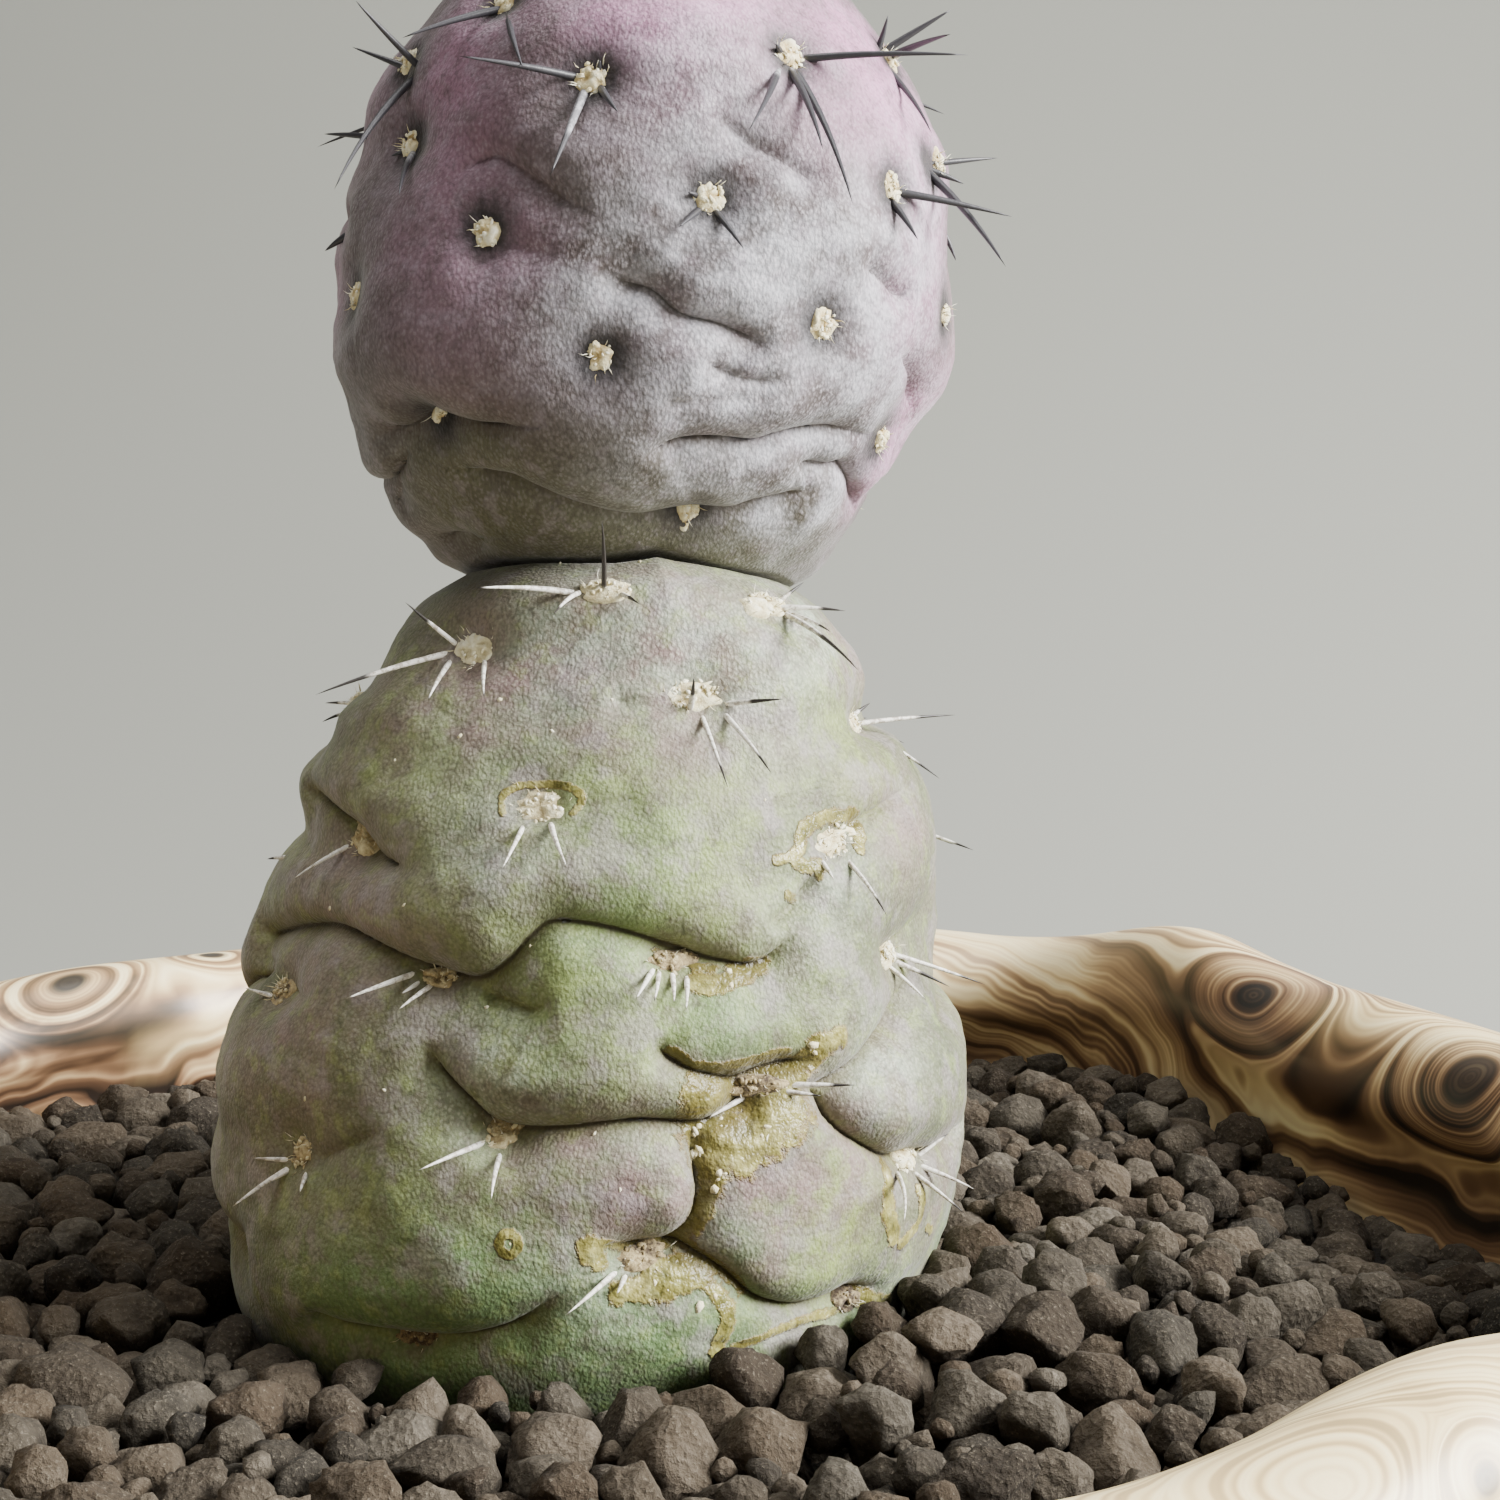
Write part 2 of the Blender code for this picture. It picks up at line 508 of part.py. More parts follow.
def stem_skin(name, joint, rows, mat):
    """The closed skin: rings, and a point in the middle of each end."""
    points, ring_count = joint.skin(rows, STEM_COLUMNS)
    faces = ring_faces(ring_count, STEM_COLUMNS)
    first_ring = list(range(STEM_COLUMNS))
    last_ring = list(range((ring_count - 1) * STEM_COLUMNS, ring_count * STEM_COLUMNS))
    ends = [[joint.lean_at(joint.heights[end]), 0.0, SOIL_LEVEL + joint.heights[end]] for end in (0, -1)]
    points = np.vstack([points] + ends)
    faces += fan(len(points) - 2, first_ring) + fan(len(points) - 1, last_ring)
    return solid(name, points, faces, (0.0, 0.0, SOIL_LEVEL), mat)


def dressed_stem(name, joint, rows, mat, seen_count, pairs, lift, lowest, lengths, seed):
    """A stem joint with its areole cushions and spines fused on."""
    body = stem_skin(name, joint, rows, mat)
    repeats = bpy.data.collections.new(name + "_repeats")
    bpy.context.scene.collection.children.link(repeats)
    for angle, height, _ in joint.areoles:
        areole_pad(*joint.spot_on_skin(angle, height), repeats)
    seen_spines(joint, pairs, lift, repeats)
    spined = [areole for areole in joint.areoles[seen_count:] if areole[1] > lowest]
    spines_behind(joint, spined, lengths, seed, repeats)
    fuse(body, repeats)
    shade_round(body, 40)
    return body


# The bowl

def wave(angle, part):
    """The lip's push (part 1) or lift (part 2) at an angle in degrees."""
    total = 0.0
    for entry in LIP_WAVES:
        apart = (angle - entry[0] + 180.0) % 360.0 - 180.0
        total += entry[part] * math.exp(-(apart / entry[3]) ** 2)
    return total


def warped(radius, level, angle):
    """A point of the bowl's section, pushed and lifted with the lip's waves."""
    pushed = radius + wave(angle, 1) * smooth_step(6.0, SOIL_LEVEL, level)
    lifted = level + wave(angle, 2) * smooth_step(SOIL_LEVEL, LIP_TOP - LIP_ROLL, level)
    turn = math.radians(angle)
    return np.array([pushed * math.cos(turn), pushed * math.sin(turn), lifted])


def column_angles(columns):
    return [360.0 * i / columns for i in range(columns)]


def inside_outline():
    """The bowl's inner wall from the soil's surface down to the floor: radius and level."""
    return [(66.2, SOIL_LEVEL), (65.6, 32.0), (63.0, 24.0), (58.0, 16.5), (51.0, 11.5), (42.0, FLOOR_LEVEL)]


def bowl_section():
    """The whole section of the bowl's wall as a closed loop, from the drain hole outwards."""
    foot_inside = FOOT_RADIUS - FOOT_WIDTH
    underside = [(DRAIN_RADIUS, FOOT_HEIGHT), (foot_inside - 1.0, FOOT_HEIGHT), (foot_inside, 0.0),
                 (FOOT_RADIUS, 0.0), (FOOT_RADIUS + 1.0, FOOT_HEIGHT)]
    outside = [(57.0, 8.0), (65.0, 16.0), (70.6, 26.0), (73.6, 35.0)]
    lip_level = LIP_TOP - LIP_ROLL
    lip = []
    for turn in (-25, 5, 35, 62, 90, 118, 146, 176, 206):
        lip.append((LIP_RADIUS + LIP_ROLL * math.cos(math.radians(turn)),
                    lip_level + LIP_ROLL * math.sin(math.radians(turn))))
    return underside + outside + lip + inside_outline() + [(DRAIN_RADIUS, FLOOR_LEVEL)]


def bowl_centre():
    """Middle of the waved lip's plan, which the origin stands under."""
    rim = np.array([warped(LIP_RADIUS + LIP_ROLL * math.cos(math.radians(5)), LIP_TOP - LIP_ROLL, angle)
                    for angle in column_angles(BOWL_COLUMNS)])
    middle = (rim.max(axis=0) + rim.min(axis=0)) / 2
    return np.array([middle[0], middle[1], 0.0])


def bowl(mat):
    section = bowl_section()
    centre = bowl_centre()
    points = [warped(radius, level, angle) - centre
              for radius, level in section for angle in column_angles(BOWL_COLUMNS)]
    made = solid("pot", points, ring_faces(len(section), BOWL_COLUMNS, closed_rows=True), -centre, mat)
    shade_round(made, 50)
    return made


# The soil

def inset(outline, distance):
    """An outline of radius and level moved inwards by a distance, square to itself."""
    points = np.array(outline)
    moved = []
    for i, point in enumerate(points):
        before = points[max(i - 1, 0)]
        after = points[min(i + 1, len(points) - 1)]
        along = (after - before) / np.linalg.norm(after - before)
        moved.append(point + distance * np.array([along[1], -along[0]]))
    return moved


def scattered_grains(outer_radius, plant_x, plant_radius, seed):
    """Middles of the grains, dropped at random and kept a spacing apart."""
    draw = random.Random(seed)
    grains = []
    for _ in range(6000):
        angle = draw.uniform(0.0, 360.0)
        radius = outer_radius * math.sqrt(draw.random())
        x, y = radius * math.cos(math.radians(angle)), radius * math.sin(math.radians(angle))
        room = outer_radius + wave(angle, 1) - GRAIN_SPACING / 2
        if radius > room or math.hypot(x - plant_x, y) < plant_radius + GRAIN_SPACING / 2:
            continue
        if all(math.hypot(x - gx, y - gy) > GRAIN_SPACING for gx, gy in grains):
            grains.append((x, y))
    return grains


def grain_points(grains, seed):
    """Each grain's foot ring and tilted top ring, as plan points with levels."""
    draw = random.Random(seed)
    points = []
    for x, y in grains:
        size = draw.uniform(0.86, 1.0) * GRAIN_SPACING
        start = draw.uniform(0.0, 2 * math.pi)
        top = SOIL_LEVEL + draw.uniform(*GRAIN_TOP_HEIGHT)
        tilt = (draw.uniform(-GRAIN_TILT, GRAIN_TILT), draw.uniform(-GRAIN_TILT, GRAIN_TILT))
        rings = ((*GRAIN_FOOT, SOIL_LEVEL - BED_DEPTH, 0.0), (*GRAIN_TOP, top, 1.0))
        for corners, reach, level, tilted in rings:
            for i in range(corners):
                a = start + 2 * math.pi * (i + draw.uniform(-0.15, 0.15)) / corners
                dx, dy = reach * size * math.cos(a), reach * size * math.sin(a)
                points.append((x + dx, y + dy, level + tilted * (tilt[0] * dx + tilt[1] * dy)))
    return points


def buried_rings(plant):
    """The lower stem joint's own rings below the soil, from the surface down."""
    radii, heights, slopes = plant.rings(LOWER_ROWS)
    below = heights < -0.3
    rings = list(zip(radii[below], heights[below], slopes[below]))
    surface = (plant.radius_at(0.0), 0.0, 0.0)
    return [surface] + rings[::-1]


def soil_side():
    """Rings of the soil's side, down the bowl's inner wall to the floor."""
    wall = inset(inside_outline(), GAP)
    wall[0][1] = SOIL_LEVEL - 0.5
    centre = bowl_centre()
    return [warped(radius, level, angle) - centre
            for radius, level in wall for angle in column_angles(BOWL_COLUMNS)]


def plant_hole(plant):
    """Rings of the plain hole that the lower stem joint stands in, from the surface down."""
    middle = plant.lean_at(0.0)
    rings = []
    for radius, height, slope in buried_rings(plant):
        away = GAP / math.hypot(1.0, slope)
        sunk = away * slope if height < 0.0 else 0.0
        for angle in column_angles(STEM_COLUMNS):
            turn = math.radians(angle)
            rings.append(np.array([middle + (radius + away) * math.cos(turn),
                                   (radius + away) * math.sin(turn), SOIL_LEVEL + height - sunk]))
    return rings


def grain_bed(rim, mouth, grains):
    """Points and triangles of the soil's top, between the bowl's wall and the plant's hole."""
    given = rim + mouth + grains
    edges = [(i, (i + 1) % len(rim)) for i in range(len(rim))]
    edges += [(len(rim) + i, len(rim) + (i + 1) % len(mouth)) for i in range(len(mouth))]
    plan = [Vector((point[0], point[1])) for point in given]
    flat, _, triangles, sources, _, _ = delaunay_2d_cdt(plan, edges, [], 0, 1e-5)
    points = [np.array([spot[0], spot[1], given[source[0]][2]]) for spot, source in zip(flat, sources)]
    place = {source[0]: i for i, source in enumerate(sources)}
    faces = []
    for triangle in triangles:
        x, y = np.mean([points[corner][:2] for corner in triangle], axis=0)
        if inside_ring(x, y, rim) and not inside_ring(x, y, mouth):
            faces.append(tuple(triangle))
    return points, faces, place


def sew(points, faces, ring, lower_rings, closing):
    """Strips from a ring of points down through the rings below it, closed by one point."""
    for start in range(0, len(lower_rings), len(ring)):
        lower = [len(points) + i for i in range(len(ring))]
        points.extend(lower_rings[start:start + len(ring)])
        for i in range(len(ring)):
            j = (i + 1) % len(ring)
            faces.append((ring[i], ring[j], lower[j], lower[i]))
        ring = lower
    points.append(np.array(closing))
    faces.extend(fan(len(points) - 1, ring))


def soil(mat, plant):
    """Everything under the grains' tops, down to the bowl's floor, with a plain hole for the plant."""
    side = soil_side()
    hole = plant_hole(plant)
    middle = plant.lean_at(0.0)
    spots = scattered_grains(inside_outline()[0][0], middle, plant.radius_at(0.0) + PLANT_CLEARANCE, seed=21)
    rim = side[:BOWL_COLUMNS]
    mouth = hole[:STEM_COLUMNS]
    points, faces, place = grain_bed(rim, mouth, grain_points(spots, seed=22))
    rim_ring = [place[i] for i in range(BOWL_COLUMNS)]
    mouth_ring = [place[BOWL_COLUMNS + i] for i in range(STEM_COLUMNS)]
    sew(points, faces, rim_ring, side[BOWL_COLUMNS:], (0.0, 0.0, FLOOR_LEVEL + GAP))
    sew(points, faces, mouth_ring, hole[STEM_COLUMNS:], (middle, 0.0, SOIL_LEVEL - BURIED_DEPTH - GAP))
    return solid("soil", points, faces, -bowl_centre(), mat)


def inside_ring(x, y, ring):
    """Whether a plan point lies inside a closed ring."""
    crossings = 0
    for a, b in zip(ring, ring[1:] + ring[:1]):
        if (a[1] > y) != (b[1] > y) and x < (b[0] - a[0]) * (y - a[1]) / (b[1] - a[1]) + a[0]:
            crossings += 1
    return crossings % 2 == 1


LEAN_CURVE = through_points(LEAN, 6)


def main():
    clear_scene()
    glaze = material("glaze", (0.62, 0.48, 0.31), 0.28)
    gravel = material("gravel", (0.16, 0.135, 0.105), 0.95)
    green_skin = material("lower_skin", (0.36, 0.38, 0.25), 0.62)
    purple_skin = material("upper_skin", (0.33, 0.26, 0.29), 0.62)

    lower = stem_joint(LOWER_OUTLINE, (-0.5, 3.0, 42.0, 45.8), LOWER_SWELLS, LOWER_AREOLES,
                       LOWER_ROWS_BEHIND, LOWER_FOLDS, LOWER_FOLDS_BEHIND, seed=11)
    upper = stem_joint(UPPER_OUTLINE, (47.0, 50.0, 86.0, 90.0), UPPER_SWELLS, UPPER_AREOLES,
                       UPPER_ROWS_BEHIND, UPPER_FOLDS, UPPER_FOLDS_BEHIND, seed=12)
    bowl(glaze)
    soil(gravel, lower)
    dressed_stem("lower_segment", lower, LOWER_ROWS, green_skin, len(LOWER_AREOLES), LOWER_SPINES,
                 lift=0.45, lowest=10.0, lengths=(3.5, 6.5), seed=31)
    dressed_stem("upper_segment", upper, UPPER_ROWS, purple_skin, len(UPPER_AREOLES), UPPER_SPINES,
                 lift=0.5, lowest=70.0, lengths=(6.0, 11.0), seed=32)


main()
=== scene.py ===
"""Looks of a two-jointed Tephrocactus geometricus in granular soil in a shallow, wavy-lipped bowl.

Every piece is a fine mesh over its solid in the frame, with a node material.
Frame: +Z up, origin on the table under the middle of the bowl, the photographed side towards -Y.
Lengths are in millimetres until a mesh is made, and the angles of the tables in degrees.
"""

import math
import random

import bmesh
import bpy
import numpy as np
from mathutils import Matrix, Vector
from mathutils.bvhtree import BVHTree


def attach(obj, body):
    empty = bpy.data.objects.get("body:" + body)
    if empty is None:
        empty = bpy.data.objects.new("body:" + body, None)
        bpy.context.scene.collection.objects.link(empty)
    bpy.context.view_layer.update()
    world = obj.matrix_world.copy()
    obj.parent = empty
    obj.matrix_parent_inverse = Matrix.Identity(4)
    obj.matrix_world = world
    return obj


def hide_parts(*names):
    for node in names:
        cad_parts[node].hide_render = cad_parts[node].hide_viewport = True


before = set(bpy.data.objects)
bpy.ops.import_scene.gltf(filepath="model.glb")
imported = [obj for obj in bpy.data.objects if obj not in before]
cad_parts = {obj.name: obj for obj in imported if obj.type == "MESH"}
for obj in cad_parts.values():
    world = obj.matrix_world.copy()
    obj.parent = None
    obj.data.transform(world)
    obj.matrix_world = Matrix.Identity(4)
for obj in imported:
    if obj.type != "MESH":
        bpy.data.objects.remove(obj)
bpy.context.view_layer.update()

# Driving dimensions, as in the solids
MM = 0.001
SOIL_LEVEL = 38.0
LOWER_HEIGHT = 46.8         # the lower stem joint above the soil
UPPER_TOP = 90.0            # the crown of the plant above the soil
GAP = 0.35
SEAM_RADIUS = 10.8          # the flat where the two stem joints meet
SEAM_X = 2.0
SEAM_TILT = 0.19            # how fast that flat climbs towards the photographed side
SEAM_REACH = 12.0
FOOT_RADIUS = 47.0
FOOT_WIDTH = 4.0
FOOT_HEIGHT = 3.5
FLOOR_LEVEL = 9.0
DRAIN_RADIUS = 6.0
LIP_RADIUS = 70.5
LIP_TOP = 49.8
LIP_ROLL = 5.7

# The photograph's camera
PHOTO_CENTRE = 750.0                    # pixels, both ways, of a 1500 x 1500 frame
FOCAL_PIXELS = 2368.0
SENSOR = 36.0
CAMERA = np.array([10.0, -158.0, 90.4])
CAMERA_PITCH = math.atan(250.0 / FOCAL_PIXELS)

# Stem outlines, bottom to top: radius and height above the soil
LOWER_OUTLINE = [
    (0.0, -7.5), (12.0, -7.1), (19.0, -5.0), (22.0, -2.5), (23.3, 0.0), (24.4, 3.0), (24.9, 6.0),
    (25.1, 10.0), (24.9, 14.0), (23.9, 19.0), (22.9, 23.0), (22.1, 27.5), (20.9, 31.4), (20.1, 34.0),
    (18.6, 37.0), (16.9, 40.0), (15.2, 42.8), (13.4, 45.0), (SEAM_RADIUS, LOWER_HEIGHT),
]
UPPER_OUTLINE = [
    (SEAM_RADIUS, LOWER_HEIGHT + GAP), (13.3, 48.6), (15.4, 51.0), (17.2, 53.7), (19.1, 58.4), (20.0, 62.0),
    (20.1, 65.5), (19.7, 70.0), (18.9, 74.2), (17.3, 79.3), (15.2, 82.3), (12.3, 85.5), (8.5, 88.2),
    (4.0, 89.6), (0.0, UPPER_TOP),
]
# The stem's axis leans sideways a little: height above the soil and offset along X
LEAN = [(-8.0, -1.5), (0.0, -1.5), (10.0, -0.9), (20.0, -0.7), (28.0, 0.3), (36.0, 0.8),
        (LOWER_HEIGHT, SEAM_X), (60.0, 3.0), (90.0, 3.4)]

# Areoles on the photographed side: pixel, half width and half height of the woolly cushion
LOWER_AREOLES = [
    ((605, 590), 1.7, 0.9), ((765, 605), 1.9, 0.9), ((476, 649), 1.5, 1.3), ((697, 695), 2.3, 1.1),
    ((857, 717), 1.0, 1.0), ((340, 702), 1.2, 1.0), ((541, 807), 2.3, 1.4), ((831, 842), 2.1, 1.1),
    ((366, 840), 1.2, 1.3), ((670, 962), 2.0, 0.8), ((885, 954), 1.1, 1.0), ((440, 978), 1.4, 0.7),
    ((285, 990), 0.9, 1.1), ((505, 1133), 1.7, 1.2), ((757, 1085), 1.9, 0.7), ((904, 1156), 1.4, 1.2),
    ((303, 1152), 1.1, 1.2), ((636, 1256), 1.9, 0.9), ((419, 1336), 1.5, 0.6), ((845, 1300), 1.3, 0.8),
]
# How pale the wool of the areoles in the creases is, where it is duller than the rest: painted shade
CREASE_SHADED_WOOL = {(670, 962): 0.35, (757, 1085): 0.3, (636, 1256): 0.3, (845, 1300): 0.15, (419, 1336): 0.15,
             (505, 1133): 0.6, (440, 978): 0.5, (285, 990): 0.4, (303, 1152): 0.6, (366, 840): 0.6}
UPPER_AREOLES = [
    ((504, 4), 0.9, 0.9), ((591, 79), 1.1, 1.0), ((789, 56), 1.05, 1.0), ((891, 58), 0.8, 0.8),
    ((408, 62), 0.9, 0.9), ((411, 144), 0.7, 1.0), ((487, 232), 0.8, 0.9), ((709, 198), 1.1, 1.0),
    ((891, 189), 0.8, 1.1), ((938, 163), 0.7, 0.9), ((357, 296), 0.6, 0.9), ((600, 356), 0.85, 1.05),
    ((822, 323), 1.0, 1.0), ((943, 315), 0.6, 0.7), ((440, 413), 0.75, 0.75), ((881, 439), 0.8, 0.9),
    ((687, 512), 0.7, 1.1),
]
BEHIND_CUSHION = {"lower": (1.6, 1.0), "upper": (1.05, 1.05)}
# Rows of areoles round the rest of each stem joint: height, first angle, count, step
LOWER_ROWS_BEHIND = [
    (43.5, 28, 3, 56), (38.8, 16, 4, 45), (31.0, 18, 4, 44), (24.0, 20, 4, 43), (15.0, 16, 4, 46),
    (7.5, 22, 4, 43),
]
UPPER_ROWS_BEHIND = [
    (87.4, 40, 3, 60), (80.5, 28, 4, 40), (72.5, 34, 4, 36), (64.0, 22, 4, 42), (56.5, 18, 4, 44),
    (51.8, 30, 4, 38),
]
AREOLE_STRAY = (4.0, 1.0)
CORK_RISE = 0.06
AREOLE_DIMPLE = (0.7, 2.0)      # depth and half width of the pit that an areole sits in
AREOLE_HOLLOW = (0.4, 4.5)      # the wider, shallower hollow round it

# The seam between the stem joints strays up and down: angle and lift
SEAM_WANDER = [
    (-172, 0.4), (-146, 0.0), (-120, -0.15), (-103, -0.5), (-92, -0.55), (-84, -0.25), (-78, 0.1),
    (-72, -0.2), (-60, -0.45), (-45, -0.65), (-20, -0.6), (20, -0.1), (60, 0.3), (100, -0.3), (145, 0.2),
]

# Swells and hollows that shape the sides: angle, height, rise, half width in degrees, half height
LOWER_SWELLS = [
    (192, 40.0, -0.4, 40, 3.0), (192, 38.6, 0.8, 30, 1.4), (192, 34.6, 0.7, 30, 1.6),
    (192, 30.8, -0.9, 30, 1.6), (192, 12.5, -0.9, 40, 3.6), (-5, 38.6, -1.6, 30, 1.6),
    (-5, 30.3, 0.6, 35, 3.0), (-5, 17.5, 1.0, 35, 2.6), (45, 33.0, 0.8, 35, 3.5), (110, 22.0, 0.7, 35, 3.0),
    (80, 9.0, 0.8, 40, 3.5), (140, 34.0, 0.7, 30, 3.0),
]
UPPER_SWELLS = [
    (192, 61.5, 0.8, 35, 2.8), (192, 74.0, -1.1, 35, 2.6), (192, 54.0, 0.7, 30, 1.5),
    (192, 49.0, -0.8, 30, 1.4), (-5, 73.5, 0.9, 35, 3.6), (-5, 51.2, -0.1, 35, 2.4),
    (-5, 56.5, -1.2, 30, 3.0), (70, 52.5, 1.0, 35, 2.4), (130, 66.0, 0.8, 35, 3.5),
    (60, 72.0, 0.8, 35, 4.0),
]

# Creases on the photographed side: depth, swell of the lip above, reach, then the route by pixel,
# drawn so that the overhanging lip is on its left
LOWER_FOLDS = [
    (1.7, 0.5, 1.1, [(250, 932), (262, 930), (300, 928), (345, 927), (400, 955), (430, 968), (480, 977),
        (505, 965), (530, 942), (556, 922), (610, 928), (670, 948), (720, 962), (760, 958), (795, 930)]),
    (1.1, 0.3, 0.9, [(765, 935), (790, 905), (815, 870)]),
    (1.0, 0.3, 0.7, [(465, 986), (506, 999), (532, 1010), (556, 1002)]),
    (1.8, 0.7, 1.1, [(415, 1035), (440, 1065), (470, 1100), (505, 1122), (560, 1124), (640, 1120),
        (700, 1117), (735, 1104), (765, 1092)]),
    (1.6, 0.6, 1.0, [(648, 1034), (668, 1056), (700, 1076), (740, 1071), (790, 1063), (828, 1070)]),
    (1.9, 0.5, 1.0, [(800, 1088), (828, 1076), (850, 1060), (869, 1040), (894, 1011), (915, 965)]),
    (1.6, 0.6, 0.9, [(812, 1066), (825, 1098), (845, 1133), (868, 1152), (905, 1152), (940, 1140),
        (962, 1122)]),
    (0.7, 0.3, 0.6, [(775, 1088), (800, 1092), (820, 1110), (838, 1136)]),
    (1.5, 0.6, 0.9, [(580, 1247), (640, 1240), (680, 1225), (697, 1195), (690, 1150), (695, 1118)]),
    (1.4, 0.4, 0.8, [(640, 1268), (670, 1242), (700, 1250), (722, 1267), (760, 1296), (800, 1300),
        (840, 1292), (890, 1286)]),
    (1.5, 0.4, 1.0, [(300, 1305), (330, 1318), (380, 1330), (420, 1335), (450, 1332), (485, 1328),
        (520, 1316), (576, 1280)]),
    (1.4, 0.5, 1.0, [(306, 784), (327, 794), (353, 824), (366, 842), (392, 860), (440, 880)]),
    (0.5, 0.0, 0.7, [(600, 692), (625, 696), (650, 702), (690, 706)]),
    (0.35, 0.0, 0.9, [(565, 806), (590, 806), (620, 802), (655, 790)]),
    (1.0, 0.3, 0.9, [(840, 835), (857, 821), (880, 807), (912, 782)]),
    (0.5, 0.0, 0.8, [(245, 945), (270, 960), (300, 992), (328, 985)]),
    (0.7, 0.2, 0.9, [(880, 968), (894, 944), (932, 900)]),
    (0.6, 0.2, 0.9, [(312, 1158), (335, 1154), (390, 1128)]),
    (0.5, 0.1, 0.8, [(690, 1340), (745, 1345), (800, 1330), (850, 1318)]),
]
UPPER_FOLDS = [
    (1.5, 0.6, 1.0, [(371, 450), (387, 430), (410, 425), (433, 412), (453, 410), (478, 420), (504, 425),
        (540, 428)]),
    (1.5, 0.7, 1.0, [(440, 470), (478, 476), (517, 481), (555, 496), (593, 509), (631, 515), (677, 514),
        (727, 514), (757, 504), (793, 499), (820, 492)]),
    (1.4, 0.6, 0.9, [(640, 466), (668, 447), (696, 439), (727, 439), (752, 443), (772, 438), (793, 430),
        (816, 428), (841, 430), (876, 436)]),
    (1.4, 0.6, 1.0, [(585, 268), (620, 282), (652, 293), (680, 314), (721, 329), (757, 342), (775, 358)]),
    (0.9, 0.3, 0.9, [(700, 360), (721, 367), (752, 377), (798, 384)]),
    (1.0, 0.4, 0.9, [(445, 189), (473, 163), (494, 158), (520, 168), (545, 184), (568, 204), (610, 226)]),
    (1.3, 0.4, 0.8, [(783, 478), (803, 466), (823, 461), (839, 466), (851, 484), (858, 505), (860, 522)]),
    (0.8, 0.3, 1.0, [(700, 112), (725, 124), (752, 143), (783, 161), (808, 176), (845, 182)]),
    (0.9, 0.3, 0.8, [(862, 258), (885, 283), (915, 306)]),
    (1.1, 0.4, 0.8, [(913, 420), (914, 384), (908, 366), (892, 350)]),
    (0.5, 0.2, 0.8, [(395, 505), (399, 490), (402, 472)]),
    (0.7, 0.2, 0.9, [(440, 541), (478, 545), (504, 555), (514, 566)]),
    (0.5, 0.2, 0.9, [(455, 255), (480, 262), (520, 250), (560, 262)]),
    (0.5, 0.2, 0.8, [(650, 400), (690, 405), (730, 398), (770, 404)]),
]
# Creases round the rest: start angle, end angle, mean height, rise from end to end, depth
LOWER_FOLDS_BEHIND = [
    (-20, 62, 21.0, 4.0, 1.6), (55, 150, 27.5, -5.0, 1.7), (140, 205, 19.0, 5.0, 1.5),
    (0, 80, 11.0, -3.0, 1.5), (95, 170, 13.5, 3.0, 1.6), (10, 70, 34.5, -3.0, 1.2),
    (90, 165, 36.0, 3.0, 1.2), (150, 215, 7.0, -2.0, 1.3), (30, 110, 5.5, 1.5, 1.2),
]
UPPER_FOLDS_BEHIND = [
    (-15, 60, 54.5, 2.0, 1.6), (70, 160, 55.5, -3.0, 1.6), (150, 215, 53.5, 3.0, 1.5),
    (20, 90, 61.0, 3.0, 1.3), (110, 175, 62.0, -3.0, 1.2), (40, 120, 69.0, 4.0, 1.1),
    (140, 205, 70.5, -3.0, 1.0), (0, 60, 76.5, -3.0, 0.9),
]
FOLD_BEHIND_WANDER = 1.3
FOLD_FADE = 3.2             # length over which a crease fades in and out
FOLD_LONG = 18.0            # creases shorter than this swell less
CREASE_SNAP = 0.16          # mesh points this near a crease's line are moved onto it
LIP_ROUND = 0.95            # how wide the upper and the lower side of a crease curve, in reaches
LEDGE_ROUND = 1.6
LIP_PULL = (0.30, 0.9)      # how far the upper lip leans over its crease, and where most, in reaches

